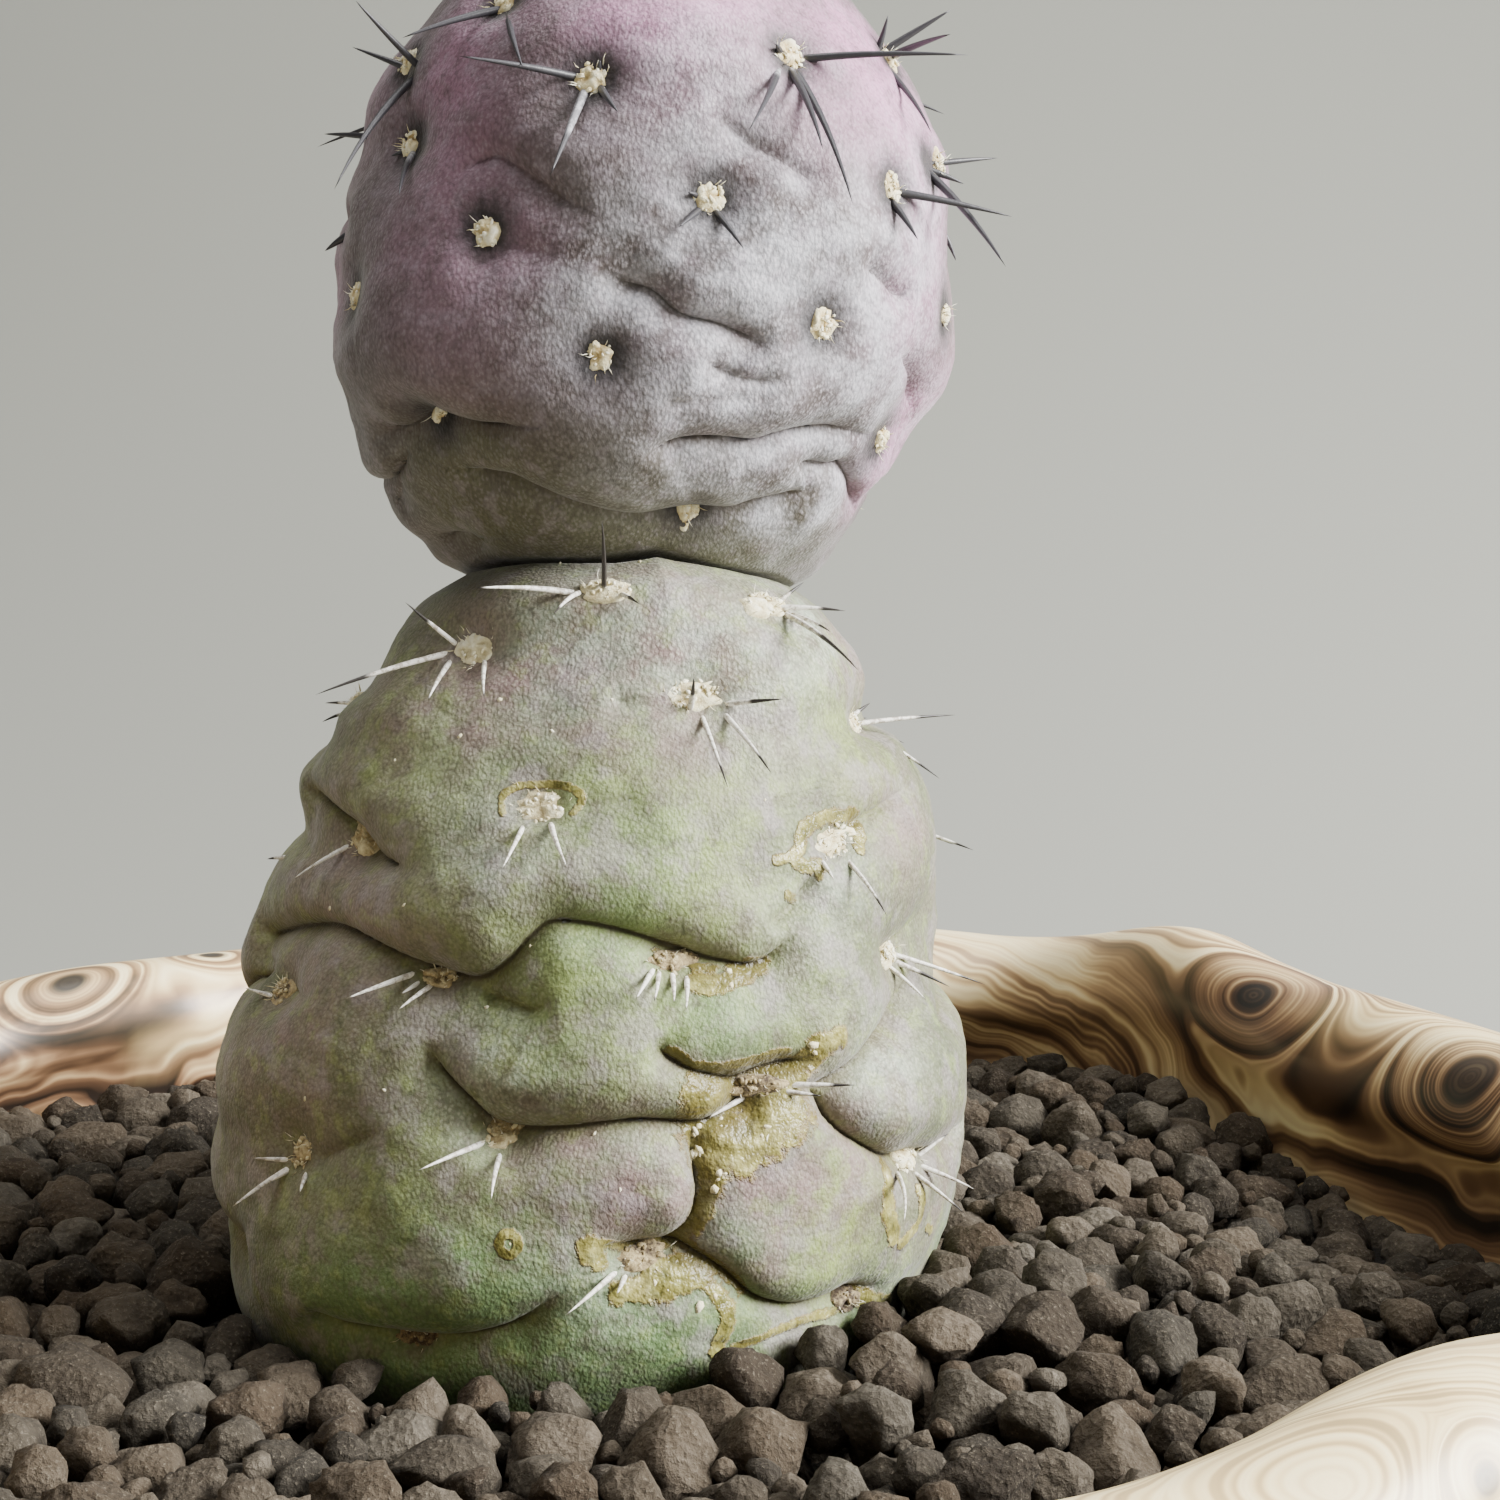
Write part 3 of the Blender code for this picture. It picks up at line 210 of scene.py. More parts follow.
# Spines on the photographed side by pixel, root to tip, and how dark the tip half is
LOWER_SPINES = [
    ((603, 592), (602, 520), 1.7), ((579, 588), (473, 588), 0.3), ((580, 586), (553, 615), 0.5),
    ((617, 588), (639, 604), 0.9), ((783, 606), (859, 671), 1.0), ((770, 603), (846, 611), 0.7),
    ((778, 600), (804, 582), 1.0), ((790, 608), (831, 632), 0.6), ((456, 644), (405, 602), 0.9),
    ((453, 648), (315, 695), 0.8), ((449, 655), (428, 700), 0.2), ((481, 655), (484, 698), 0.3),
    ((692, 708), (694, 677), 1.0), ((702, 709), (728, 788), 0.6), ((722, 708), (772, 774), 0.6),
    ((719, 703), (784, 699), 1.0), ((858, 714), (870, 703), 1.0), ((858, 718), (956, 715), 0.8),
    ((858, 722), (940, 779), 0.6), ((524, 819), (502, 869), 0.0), ((548, 817), (567, 867), 0.0),
    ((847, 853), (887, 916), 0.6), ((823, 855), (834, 880), 0.0), ((353, 840), (293, 879), 0.1),
    ((345, 698), (325, 703), 0.8), ((350, 702), (322, 722), 0.8), ((658, 964), (636, 999), 0.2),
    ((662, 965), (654, 1002), 0.3), ((673, 967), (674, 1002), 0.1), ((687, 970), (686, 1010), 0.2),
    ((886, 950), (986, 985), 0.6), ((892, 957), (950, 987), 1.0), ((886, 959), (926, 1000), 0.2),
    ((420, 969), (345, 999), 0.0), ((423, 977), (401, 994), 0.2), ((438, 977), (398, 1010), 0.1),
    ((277, 996), (245, 988), 0.3), ((490, 1138), (417, 1171), 0.0), ((501, 1146), (491, 1201), 0.0),
    ((786, 1085), (856, 1085), 0.7), ((748, 1095), (708, 1118), 0.1), ((780, 1090), (822, 1096), 0.5),
    ((917, 1158), (949, 1133), 0.4), ((917, 1161), (974, 1189), 0.1), ((912, 1166), (965, 1214), 0.5),
    ((901, 1168), (904, 1222), 0.1), ((292, 1163), (232, 1207), 0.1), ((292, 1160), (253, 1158), 0.0),
    ((292, 1165), (270, 1182), 0.2), ((304, 1168), (300, 1192), 0.1), ((623, 1268), (566, 1315), 0.0),
    ((630, 1270), (617, 1294), 0.0), ((287, 855), (267, 859), 0.7),
]
UPPER_SPINES = [
    ((415, 66), (355, 0), 1.0), ((410, 68), (352, 47), 1.0), ((412, 70), (334, 190), 1.0),
    ((409, 148), (399, 196), 0.6), ((408, 146), (391, 156), 0.5), ((583, 76), (458, 56), 0.9),
    ((585, 84), (550, 176), 0.4), ((597, 82), (618, 112), 1.0), ((596, 76), (600, 60), 1.0),
    ((504, 6), (523, 68), 0.8), ((508, 2), (402, 38), 0.9), ((800, 55), (969, 55), 0.9),
    ((792, 62), (823, 150), 0.8), ((796, 62), (853, 205), 0.9), ((784, 62), (749, 130), 0.7),
    ((785, 52), (776, 44), 1.0), ((885, 50), (952, 9), 1.0), ((888, 58), (932, 134), 1.0),
    ((884, 50), (888, 15), 1.0), ((890, 52), (951, 34), 1.0), ((930, 163), (998, 158), 1.0),
    ((930, 166), (1006, 267), 1.0), ((930, 166), (964, 184), 1.0), ((895, 189), (1013, 217), 1.0),
    ((893, 194), (918, 240), 0.9), ((712, 204), (744, 249), 0.9), ((704, 205), (679, 227), 0.9),
    ((705, 197), (688, 192), 0.8), ((948, 224), (956, 261), 1.0), ((368, 134), (324, 134), 1.0),
    ((345, 233), (325, 251), 1.0),
]

# Tints of the skin on the photographed side: pixel, half width in millimetres, strength
LOWER_YELLOW = [
    ((420, 745), 4.5, 1.0), ((700, 860), 6.0, 0.9), ((830, 1240), 4.5, 1.0), ((620, 1080), 5.0, 0.4),
    ((430, 920), 3.5, 0.5), ((830, 700), 4.0, 0.6), ((870, 770), 4.0, 0.5), ((460, 1140), 4.0, 0.5),
    ((640, 1000), 4.0, 0.5), ((800, 1000), 4.0, 0.4), ((560, 1000), 3.5, 0.5), ((590, 780), 3.0, 0.4),
]
LOWER_PURPLE = [
    ((430, 690), 5.0, 0.7), ((500, 690), 4.0, 0.8), ((620, 640), 6.0, 0.6), ((700, 620), 5.0, 0.5),
    ((850, 660), 4.0, 1.0), ((330, 900), 7.0, 0.7), ((910, 830), 4.0, 0.8), ((850, 1150), 4.5, 0.8),
    ((560, 1170), 5.5, 0.8), ((640, 1190), 4.0, 0.6), ((760, 1235), 4.0, 0.6), ((720, 930), 4.0, 0.3),
    ((280, 1060), 6.0, 0.7), ((750, 1200), 5.0, 0.6), ((680, 730), 4.0, 0.5), ((480, 880), 4.0, 0.3),
    ((940, 1190), 4.0, 0.6), ((580, 740), 4.0, 0.3),
]
LOWER_GREEN = [
    ((420, 1370), 6.0, 1.0), ((530, 1360), 6.0, 1.0), ((620, 1350), 5.0, 1.0), ((480, 1280), 5.0, 0.7),
    ((330, 1290), 6.0, 0.7), ((870, 1320), 4.0, 0.8), ((600, 930), 3.5, 0.6), ((740, 1040), 4.0, 0.5),
    ((560, 1060), 4.0, 0.5), ((700, 1010), 4.0, 0.4), ((780, 1290), 4.0, 0.5), ((540, 760), 3.0, 0.4),
    ((650, 840), 5.0, 0.5), ((660, 1365), 5.0, 1.0),
]
# Pale waxy bloom, partly a painted highlight that lightens the lit side
LOWER_BLOOM_AND_HIGHLIGHT = [
    ((690, 655), 3.5, 0.8), ((560, 640), 4.0, 0.7), ((430, 750), 3.5, 0.5), ((490, 850), 3.5, 0.7),
    ((490, 1075), 3.5, 0.8), ((585, 1290), 3.0, 0.6), ((880, 1060), 3.5, 0.9), ((760, 690), 4.0, 0.7),
    ((890, 1310), 3.0, 0.8), ((800, 930), 3.5, 0.5), ((470, 1120), 2.5, 0.6), ((840, 870), 3.0, 0.5),
    ((800, 620), 4.0, 0.8), ((560, 700), 4.0, 0.3), ((620, 600), 4.0, 0.5), ((820, 640), 3.0, 0.6),
    ((735, 1230), 3.0, 0.4), ((640, 1140), 3.0, 0.4),
]
UPPER_PINK = [
    ((640, -10), 4.5, 1.0), ((720, -20), 5.0, 0.8), ((880, 60), 4.0, 0.9), ((915, 130), 4.5, 1.0),
    ((915, 420), 4.5, 1.0), ((880, 480), 3.5, 0.8), ((500, 10), 4.0, 0.45), ((840, 20), 4.0, 0.6),
    ((930, 230), 4.0, 0.8), ((480, 130), 4.0, 0.2), ((700, 90), 5.0, 0.2), ((430, 230), 5.0, 0.3),
    ((440, 90), 4.0, 0.4), ((470, 370), 5.0, 0.2), ((915, 320), 3.5, 0.7), ((840, 120), 4.0, 0.5),
    ((520, 250), 3.0, 0.3),
]
# Pale waxy bloom, partly a painted highlight that lightens the lit side
UPPER_BLOOM_AND_HIGHLIGHT = [
    ((640, 280), 5.0, 0.6), ((740, 380), 5.0, 0.8), ((700, 420), 3.5, 0.5), ((700, 60), 5.0, 0.6),
    ((900, 300), 5.0, 0.9), ((930, 180), 4.0, 0.7), ((776, 498), 4.0, 0.7), ((630, 498), 3.5, 0.5),
    ((860, 400), 4.5, 1.0), ((700, 150), 4.0, 0.5), ((790, 250), 5.5, 1.0), ((830, 490), 4.0, 0.9),
    ((580, 300), 4.0, 0.3), ((770, 470), 4.0, 0.8), ((900, 220), 4.0, 0.6), ((550, 330), 4.0, 0.3),
]
UPPER_OLIVE = [
    ((560, 520), 6.0, 1.0), ((700, 545), 5.0, 0.9), ((450, 500), 6.0, 1.0), ((800, 545), 5.0, 0.7),
    ((480, 450), 4.0, 0.5), ((640, 500), 5.0, 0.4),
]
# Cork scabs on the lower joint: half width, then the route by pixel
CORK = [
    (0.4, [(776, 861), (790, 857), (803, 849)]), (0.6, [(795, 862), (808, 867), (820, 864)]),
    (0.6, [(801, 846), (801, 832), (814, 822), (835, 816), (853, 816), (858, 832), (859, 848)]),
    (0.4, [(817, 871), (819, 875)]), (0.3, [(655, 950), (700, 966), (756, 966)]),
    (0.9, [(698, 984), (722, 982), (742, 972), (758, 965)]),
    (0.55, [(672, 1052), (700, 1067), (740, 1064), (785, 1053)]),
    (1.0, [(802, 1062), (820, 1048), (838, 1038)]), (1.6, [(700, 1092), (735, 1092), (790, 1078)]),
    (2.3, [(708, 1125), (730, 1148), (760, 1128), (788, 1112)]), (1.3, [(748, 1152), (768, 1140)]),
    (0.7, [(684, 1112), (692, 1135), (700, 1160)]),
    (0.9, [(704, 1160), (710, 1185), (698, 1215), (678, 1235)]),
    (0.7, [(585, 1244), (640, 1240), (680, 1233)]), (0.8, [(588, 1252), (600, 1262)]),
    (0.7, [(690, 1245), (715, 1262), (740, 1284)]), (1.0, [(622, 1290), (660, 1288), (700, 1275)]),
    (0.8, [(650, 1272), (690, 1262)]), (0.7, [(715, 1290), (728, 1315), (716, 1350)]),
    (0.4, [(735, 1346), (790, 1325), (850, 1305)]), (0.8, [(845, 1290), (865, 1300), (885, 1302)]),
    (0.8, [(884, 1165), (888, 1205), (894, 1238)]), (0.5, [(900, 1244), (918, 1222), (920, 1190)]),
    (0.3, [(503, 814), (503, 797), (518, 786), (545, 784), (572, 788), (583, 800), (573, 813)]),
    (0.36, [(518, 1244), (515, 1236), (509, 1233), (502, 1236), (500, 1244), (503, 1252), (509, 1255),
        (516, 1252), (518, 1244)]),
    (0.4, [(787, 895), (793, 899)]), (0.4, [(927, 1228), (931, 1232)]),
]
# Crumbs of dry cork: pixel, spread in pixels, count
CORK_CRUMBS = [
    ((694, 1130), 6, 4), ((700, 1147), 6, 3), ((693, 1157), 5, 2), ((720, 1172), 9, 4), ((764, 1134), 9, 3),
    ((724, 1124), 6, 2), ((815, 1052), 12, 4), ((665, 1285), 16, 3), ((720, 1300), 14, 2),
    ((802, 845), 9, 2), ((840, 826), 9, 2), ((735, 972), 12, 2),
]
WHITE_SPECKS = [
    (460, 736), (552, 731), (305, 1099), (384, 1090), (487, 1007), (594, 1134), (530, 946), (612, 700),
    (395, 760), (750, 880), (640, 560), (500, 700), (510, 1244), (404, 905), (330, 908), (560, 560),
    (765, 800), (620, 1190),
]

# The lip's waves: angle, push outwards, lift, half width
LIP_WAVES = np.array([
    (62, 5.5, -1.6, 12), (47, 0.5, 2.4, 9), (27, -4.0, 0.9, 12), (8, 1.5, -0.8, 9), (88, -1.0, 0.8, 10),
    (112, 1.2, -1.9, 10), (128, -2.0, -0.7, 9), (146, 2.6, -2.0, 10), (170, -1.2, 0.6, 10),
    (192, 1.6, -0.8, 9), (214, -2.0, 1.2, 11), (236, 2.4, -1.4, 11), (258, -0.9, -0.5, 10),
    (281, 1.0, 0.1, 10), (308, -1.6, 1.9, 10), (328, 2.0, 0.8, 10), (346, -1.2, 0.8, 9),
])
BOWL_SHIFT = np.array([-0.1143, 0.5701, 0.0])       # from the waves' middle to the origin
# How far the glaze's grain wanders over the wall, times round, angle where fastest
GRAIN_DRIFT = (8.0, 3, 50.0)

# Knots in the wood-grain glaze that the photograph shows: pixel, half length, half height, tilt,
# darkness of the eye
SEEN_KNOTS = [
    ((71, 983), 7.0, 4.5, 0, 1.0), ((212, 956), 4.5, 3.0, 0, 0.9), ((1250, 993), 8.5, 5.5, -15, 0.75),
    ((1466, 1075), 6.5, 8.5, -25, 0.9), ((1325, 1492), 8.0, 5.0, 10, 0.0),
    ((1480, 1480), 3.0, 2.2, 30, 0.7),
]
# More knots round the rest: angle, step along the bowl's section, half length, half height, tilt
KNOTS_BEHIND = [
    (82, 0.46, 8, 5, 20), (100, 0.55, 9, 6, -10), (152, 0.46, 8, 6, 15), (178, 0.60, 8, 5, 0),
    (205, 0.42, 9, 6, -15), (230, 0.52, 9, 6, 10), (262, 0.44, 8, 5, -20), (290, 0.48, 9, 6, 0),
    (330, 0.42, 8, 6, 15), (352, 0.40, 7, 5, 0), (40, 0.40, 9, 6, -10), (130, 0.40, 8, 5, 10),
]
# Dark and pale sweeps of that glaze: half width, strength, route by pixel. The dark ones are partly the
# glaze's own dark grain and partly painted shade on the right and back of the inner wall.
DARK_GRAIN_AND_SHADE = [
    (4.5, 1.0, [(1110, 985), (1160, 1008), (1210, 1036), (1290, 1062), (1370, 1092), (1490, 1155)]),
    (3.0, 0.8, [(950, 1040), (1050, 1040), (1130, 1060)]),
    (1.2, 1.8, [(0, 1049), (40, 1045), (75, 1041), (108, 1036), (130, 1030), (149, 1023), (166, 1013)]),
    (1.8, 1.8, [(130, 1030), (149, 1023), (166, 1013), (182, 1004)]),
    (0.9, 0.8, [(182, 1002), (205, 994), (240, 988)]),
    (0.8, 1.0, [(0, 1075), (33, 1072), (70, 1063), (99, 1053), (133, 1043)]),
    (0.8, 0.9, [(0, 1013), (33, 1022), (70, 1024), (99, 1016), (121, 1000), (131, 980)]),
    (2.0, 1.6, [(0, 1104), (50, 1100), (99, 1092), (149, 1085), (216, 1073)]),
    (3.0, 0.6, [(1250, 991), (1310, 1005), (1340, 1030)]),
    (6.0, 1.5, [(1370, 1130), (1440, 1172), (1490, 1205)]),
    (4.0, 1.2, [(1180, 1000), (1230, 1030), (1290, 1062)]),
    (1.6, 0.5, [(1400, 1376), (1440, 1400), (1472, 1446)]),
    (1.2, 0.4, [(1330, 1412), (1390, 1424), (1440, 1460)]),
]
# The pale ones lie mostly along the lip's top: partly paler glaze, partly painted highlight.
PALE_GLAZE_AND_HIGHLIGHT = [
    (5.0, 0.2, [(20, 985), (120, 975), (240, 965)]),
    (5.0, 0.4, [(960, 955), (1050, 945), (1180, 940)]),
    (3.0, 0.7, [(1340, 1010), (1420, 1025), (1490, 1040)]),
    (1.6, 0.8, [(150, 1046), (200, 1032), (235, 1020)]),
    (16.0, 1.0, [(1100, 1495), (1250, 1480), (1400, 1430), (1490, 1380)]),
]

# Mesh sizes: columns in front and behind, rings
LOWER_COLUMNS = (270, 150)
LOWER_RINGS = 225
UPPER_COLUMNS = (250, 140)
UPPER_RINGS = 205
BOWL_COLUMNS = 400
DRAFT_COLUMNS = (130, 40)
DRAFT_RINGS = 110

# Relief of the skin: heights above the soil where it fades in, is full, fades out and ends
LOWER_RELIEF = (-0.5, 3.0, 44.0, 46.7)
UPPER_RELIEF = (47.1, 49.2, 86.0, 90.0)
BROAD_WAVES = [(0.35, 3, 0.23, 0.0), (0.25, 5, -0.31, 1.0)]     # rise, times round, turn to the mm, start
SKIN_LUMPS = [(0.22, 6.0, 3), (0.10, 2.4, 4), (0.045, 1.1, 5)]  # rise, size, seed
SKIN_FLATTER = 1.7          # how much lower than wide those lumps are
HALO_WIDTH = 2.3            # half width of the dull ring round an areole
SEAM_WANDER_REACH = 3.0
LIP_SWELL = (1.7, 2.0, 4.5)     # swell above a crease: factor, where it starts and where it ends, in reaches
CREASE_SHADE = 0.8          # how far the shade in a crease reaches, in reaches
FULL_DEPTH = 1.5            # creases of this depth or more have their whole pull and shade
BURIED_HEIGHT = -2.0        # below this the mesh is coarser, by the share
BURIED_SHARE = 0.25
CRUST_RAGGED = 0.6

# Spines: radius, lean off the skin in front, then the lowest areole that has them, their lengths and
# their darkness round the rest
LOWER_HABIT = (0.19, 0.45, 10.0, (3.5, 6.5), 0.7)
UPPER_HABIT = (0.25, 0.5, 70.0, (6.0, 11.0), 1.0)
RISING_PIXELS = 25          # a spine that climbs more than this stands well off the skin
STEEP_LIFT = 0.97
SPINE_FANS = [(-38, 34), (-24, 48), (-44, 22)]

# The woolly cushions: share of the half width and level of each ring, and the crumbs' radii
CUSHION_SIDES = 24
CUSHION_RINGS = ((1.10, -0.45), (1.0, 0.0), (0.86, 0.14), (0.68, 0.22), (0.46, 0.27), (0.22, 0.30))
WOOL_CRUMB = (0.09, 0.22)
SPECK = (0.09, 0.17)
CORK_CRUMB = (0.12, 0.36)

# The bowl's section
BOWL_OUTSIDE = [(FOOT_RADIUS + 1.0, FOOT_HEIGHT), (57.0, 8.0), (65.0, 16.0), (70.6, 26.0), (73.6, 35.0),
                (75.6, 41.5)]
BOWL_INSIDE = [(66.2, SOIL_LEVEL), (65.6, 32.0), (63.0, 24.0), (58.0, 16.5), (51.0, 11.5),
               (42.0, FLOOR_LEVEL)]
LIP_LEVEL = LIP_TOP - LIP_ROLL
LIP_TURN = (-20, 206, 36)       # where the rolled lip starts and ends, and its steps
BOWL_LUMPS = [(0.35, 14.0, 61), (0.12, 5.0, 62)]
BOWL_SWELL_FROM = np.array([0.0, 0.0, 30.0])
KNOT_DEPTH = 3.6
FOOT_BARE = 48.0            # section length up to which the foot is bare clay

# The soil
GRAIN_COUNT = 3600
GRAIN_RADIUS = 2.05
GRAIN_SPREAD = 0.22
GRAIN_LARGEST = 2.7
SMALL_COUNT = 900
SMALL_RADII = (0.6, 1.2)
GRAIN_SWELL = 1.12          # how much larger a chunk is than the ball that it settled as
GRAIN_FLOOR = 32.0
GRAIN_CEILING = 39.0
GRAIN_WALL = 65.4           # inner radius of the wall at the grains
GRAIN_PLANT = 24.0          # radius round the plant that stays free
GRAIN_DROP = (23.0, 70.0)
GRAIN_REACH = 14.0          # grains nearer than this can hold another
ROLL_TURNS = 24
ROLL_STEPS = (0.9, 0.25)
BURIED_DEPTH = 3.5
NEAR_GRAINS = 128.0         # grains nearer to the photograph's camera than this are the finest
FINE_RADIUS = 1.9
MIDDLE_RADIUS = 1.55
SEEN_PIXELS = (-80, 1580)
# Where the soil rises or sinks towards the wall: angle, half width, lift
SOIL_SWELLS = [(12.0, 12.0, -4.6), (46.0, 9.0, 1.6), (72.0, 16.0, -2.0)]
SOIL_MOUND = (24.0, -18.0, 13.0, 3.0)       # grains heaped against the plant: place, half width, lift
SOIL_COLUMNS = 96
BED_SIDE = [(42.0, FLOOR_LEVEL + 0.5), (50.6, 12.0), (57.3, 17.0), (62.4, 24.0), (65.0, 30.0)]
BED_TOP = [(64.6, GRAIN_FLOOR + 2.0), (56.0, GRAIN_FLOOR + 1.5), (46.0, GRAIN_FLOOR + 2.0),
           (36.0, GRAIN_FLOOR + 1.5), (26.0, GRAIN_FLOOR + 2.0), (10.0, GRAIN_FLOOR - 1.0)]

# The stage, in metres
SWEEP_RADIUS = 0.8
SWEEP_START = 0.25
SWEEP_HALF_WIDTH = 2.4
SWEEP_FRONT = -1.6
SWEEP_TOP = 2.2
PAPER = (148, 149, 142)
MIDDLE = (0.0, 0.0, 0.07)
# Lights: name, place, aim, size, power, colour
LIGHTS = [
    ("key", (0.80, -0.17, 0.50), MIDDLE, 0.55, 45.0, (1.0, 0.99, 0.97)),
    ("top", (-0.15, -0.1, 1.0), MIDDLE, 0.6, 5.5, (1.0, 0.99, 0.97)),
    ("wash", (0.2, 0.25, 1.25), (0.0, 0.95, 0.25), 0.9, 4.5, (1.0, 1.0, 0.97)),
    ("fill", (0.25, -1.0, 0.16), MIDDLE, 0.6, 1.4, (1.0, 0.97, 0.90)),
]
SKY = (1.0, 0.90, 0.76, 1.0)
SKY_STRENGTH = 0.08


# Small mathematics

def smooth_step(low, high, value):
    """0 below low, 1 above high, with a smooth rise between."""
    t = np.clip((value - low) / (high - low), 0.0, 1.0)
    return t * t * (3.0 - 2.0 * t)


def through_points(points, steps):
    """Points along a smooth curve (Catmull-Rom) through the given ones."""
    knots = np.array(points, dtype=float)
    padded = np.vstack([2 * knots[0] - knots[1], knots, 2 * knots[-1] - knots[-2]])
    curve = []
    for i in range(len(knots) - 1):
        a, b, c, d = padded[i:i + 4]
        for t in np.arange(steps) / steps:
            curve.append(0.5 * (2 * b + (c - a) * t + (2 * a - 5 * b + 4 * c - d) * t ** 2
                                + (3 * b - a - 3 * c + d) * t ** 3))
    curve.append(knots[-1])
    return np.array(curve)


LEAN_CURVE = through_points(LEAN, 6)


def unit(vectors):
    return vectors / np.maximum(np.linalg.norm(vectors, axis=-1, keepdims=True), 1e-9)


def outward(angle, slope):
    """Outward direction of a turned surface at angles where its radius grows by slope to the height."""
    return unit(np.stack([np.cos(angle), np.sin(angle), -slope], axis=-1))


def steps_along(curve):
    """Length from a curve's start to each of its points."""
    return np.concatenate([[0.0], np.cumsum(np.hypot(*np.diff(curve, axis=0).T))])


def route_distance(points, route):
    """How far each point is from a route."""
    best = np.full(len(points), 1e6)
    for start, end in zip(route[:-1], route[1:]):
        along = end - start
        t = np.clip((points - start) @ along / max(along @ along, 1e-9), 0.0, 1.0)
        best = np.minimum(best, np.linalg.norm(points - (start + t[:, None] * along), axis=1))
    return best


def photo_axes():
    ahead = np.array([0.0, math.cos(CAMERA_PITCH), -math.sin(CAMERA_PITCH)])
    up = np.array([0.0, math.sin(CAMERA_PITCH), math.cos(CAMERA_PITCH)])
    return np.array([1.0, 0.0, 0.0]), ahead, up


def photo_ray(pixel):
    """Direction in which the photograph's camera sees a pixel."""
    right, ahead, up = photo_axes()
    across = (pixel[0] - PHOTO_CENTRE) / FOCAL_PIXELS
    down = (pixel[1] - PHOTO_CENTRE) / FOCAL_PIXELS
    return unit(ahead + right * across - up * down)


def photo_pixels(points):
    """Where the photograph shows points, and how far from its camera they are."""
    right, ahead, up = photo_axes()
    offset = points - CAMERA
    depth = offset @ ahead
    x = PHOTO_CENTRE + FOCAL_PIXELS * (offset @ right) / depth
    y = PHOTO_CENTRE - FOCAL_PIXELS * (offset @ up) / depth
    return x, y, depth


def lattice(cell, seed):
    """A fixed pseudo-random number from -1 to 1 for each whole-number point."""
    mixed = cell @ np.array([73856093, 19349663, 83492791]) + seed * 2654435761
    mixed = (mixed ^ (mixed >> 13)) * 1274126177 & 0xFFFFFFFF
    mixed = (mixed ^ (mixed >> 15)) * 2246822519 & 0xFFFFFFFF
    return ((mixed ^ (mixed >> 16)) & 0xFFFF) / 32767.5 - 1.0


def rough(points, seed):
    """Smooth noise from about -1 to 1 with one swell to the unit."""
    cell = np.floor(points).astype(np.int64)
    part = points - cell
    part = part * part * (3.0 - 2.0 * part)
    total = np.zeros(len(points))
    for corner in np.ndindex(2, 2, 2):
        weight = np.prod(np.where(corner, part, 1.0 - part), axis=1)
        total += weight * lattice(cell + corner, seed)
    return total


def lumpy(points, layers):
    """Noise in layers, each with a rise, a size and a seed."""
    return sum(rise * rough(points / size, seed) for rise, size, seed in layers)


# Mesh helpers

def piece(name, points, faces, mat, fields=None):
    """A mesh object from world points in millimetres, with a number at each point for each field."""
    mesh = bpy.data.meshes.new(name)
    mesh.from_pydata(np.asarray(points) * MM, [], faces)
    for field, values in (fields or {}).items():
        attribute = mesh.attributes.new(field, "FLOAT", "POINT")
        attribute.data.foreach_set("value", np.asarray(values, dtype=np.float32))
    mesh.shade_smooth()
    mesh.materials.append(mat)
    mesh.update()
    made = bpy.data.objects.new(name, mesh)
    bpy.context.scene.collection.objects.link(made)
    return made


def ring_faces(rows, columns, closed_rows=False):
    """Quads between successive rings of a grid whose points run ring by ring."""
    row = np.arange(rows if closed_rows else rows - 1)[:, None] * columns
    column = np.arange(columns)[None, :]
    beside = (column + 1) % columns
    above = (row + columns) % (rows * columns)
    corners = [row + column, row + beside, above + beside, above + column]
    return np.stack(corners, axis=-1).reshape(-1, 4)


def close_ends(faces, rows, columns, bottom, top):
    """Fans of triangles from the two end points to the first and the last ring."""
    last = (rows - 1) * columns
    for i in range(columns):
        j = (i + 1) % columns
        faces.append((bottom, j, i))
        faces.append((top, last + i, last + j))


def ball(subdivisions):
    """Points and triangles of a unit ball."""
    bm = bmesh.new()
    bmesh.ops.create_icosphere(bm, subdivisions=subdivisions, radius=1.0)
    bm.verts.ensure_lookup_table()
    points = np.array([vertex.co[:] for vertex in bm.verts])
    faces = np.array([[vertex.index for vertex in face.verts] for face in bm.faces])
    bm.free()
    return points, faces


class Heap:
    """Many small meshes gathered into one, with their fields."""

    def __init__(self):
        self.points = []
        self.faces = []
        self.fields = {}
        self.count = 0

    def add(self, points, faces, **fields):
        self.points.append(points)
        self.faces.extend((np.asarray(faces) + self.count).tolist())
        for field, values in fields.items():
            self.fields.setdefault(field, []).append(np.broadcast_to(values, (len(points),)))
        self.count += len(points)

    def piece(self, name, mat):
        fields = {field: np.concatenate(values) for field, values in self.fields.items()}
        return piece(name, np.vstack(self.points), self.faces, mat, fields)


# Stem joints

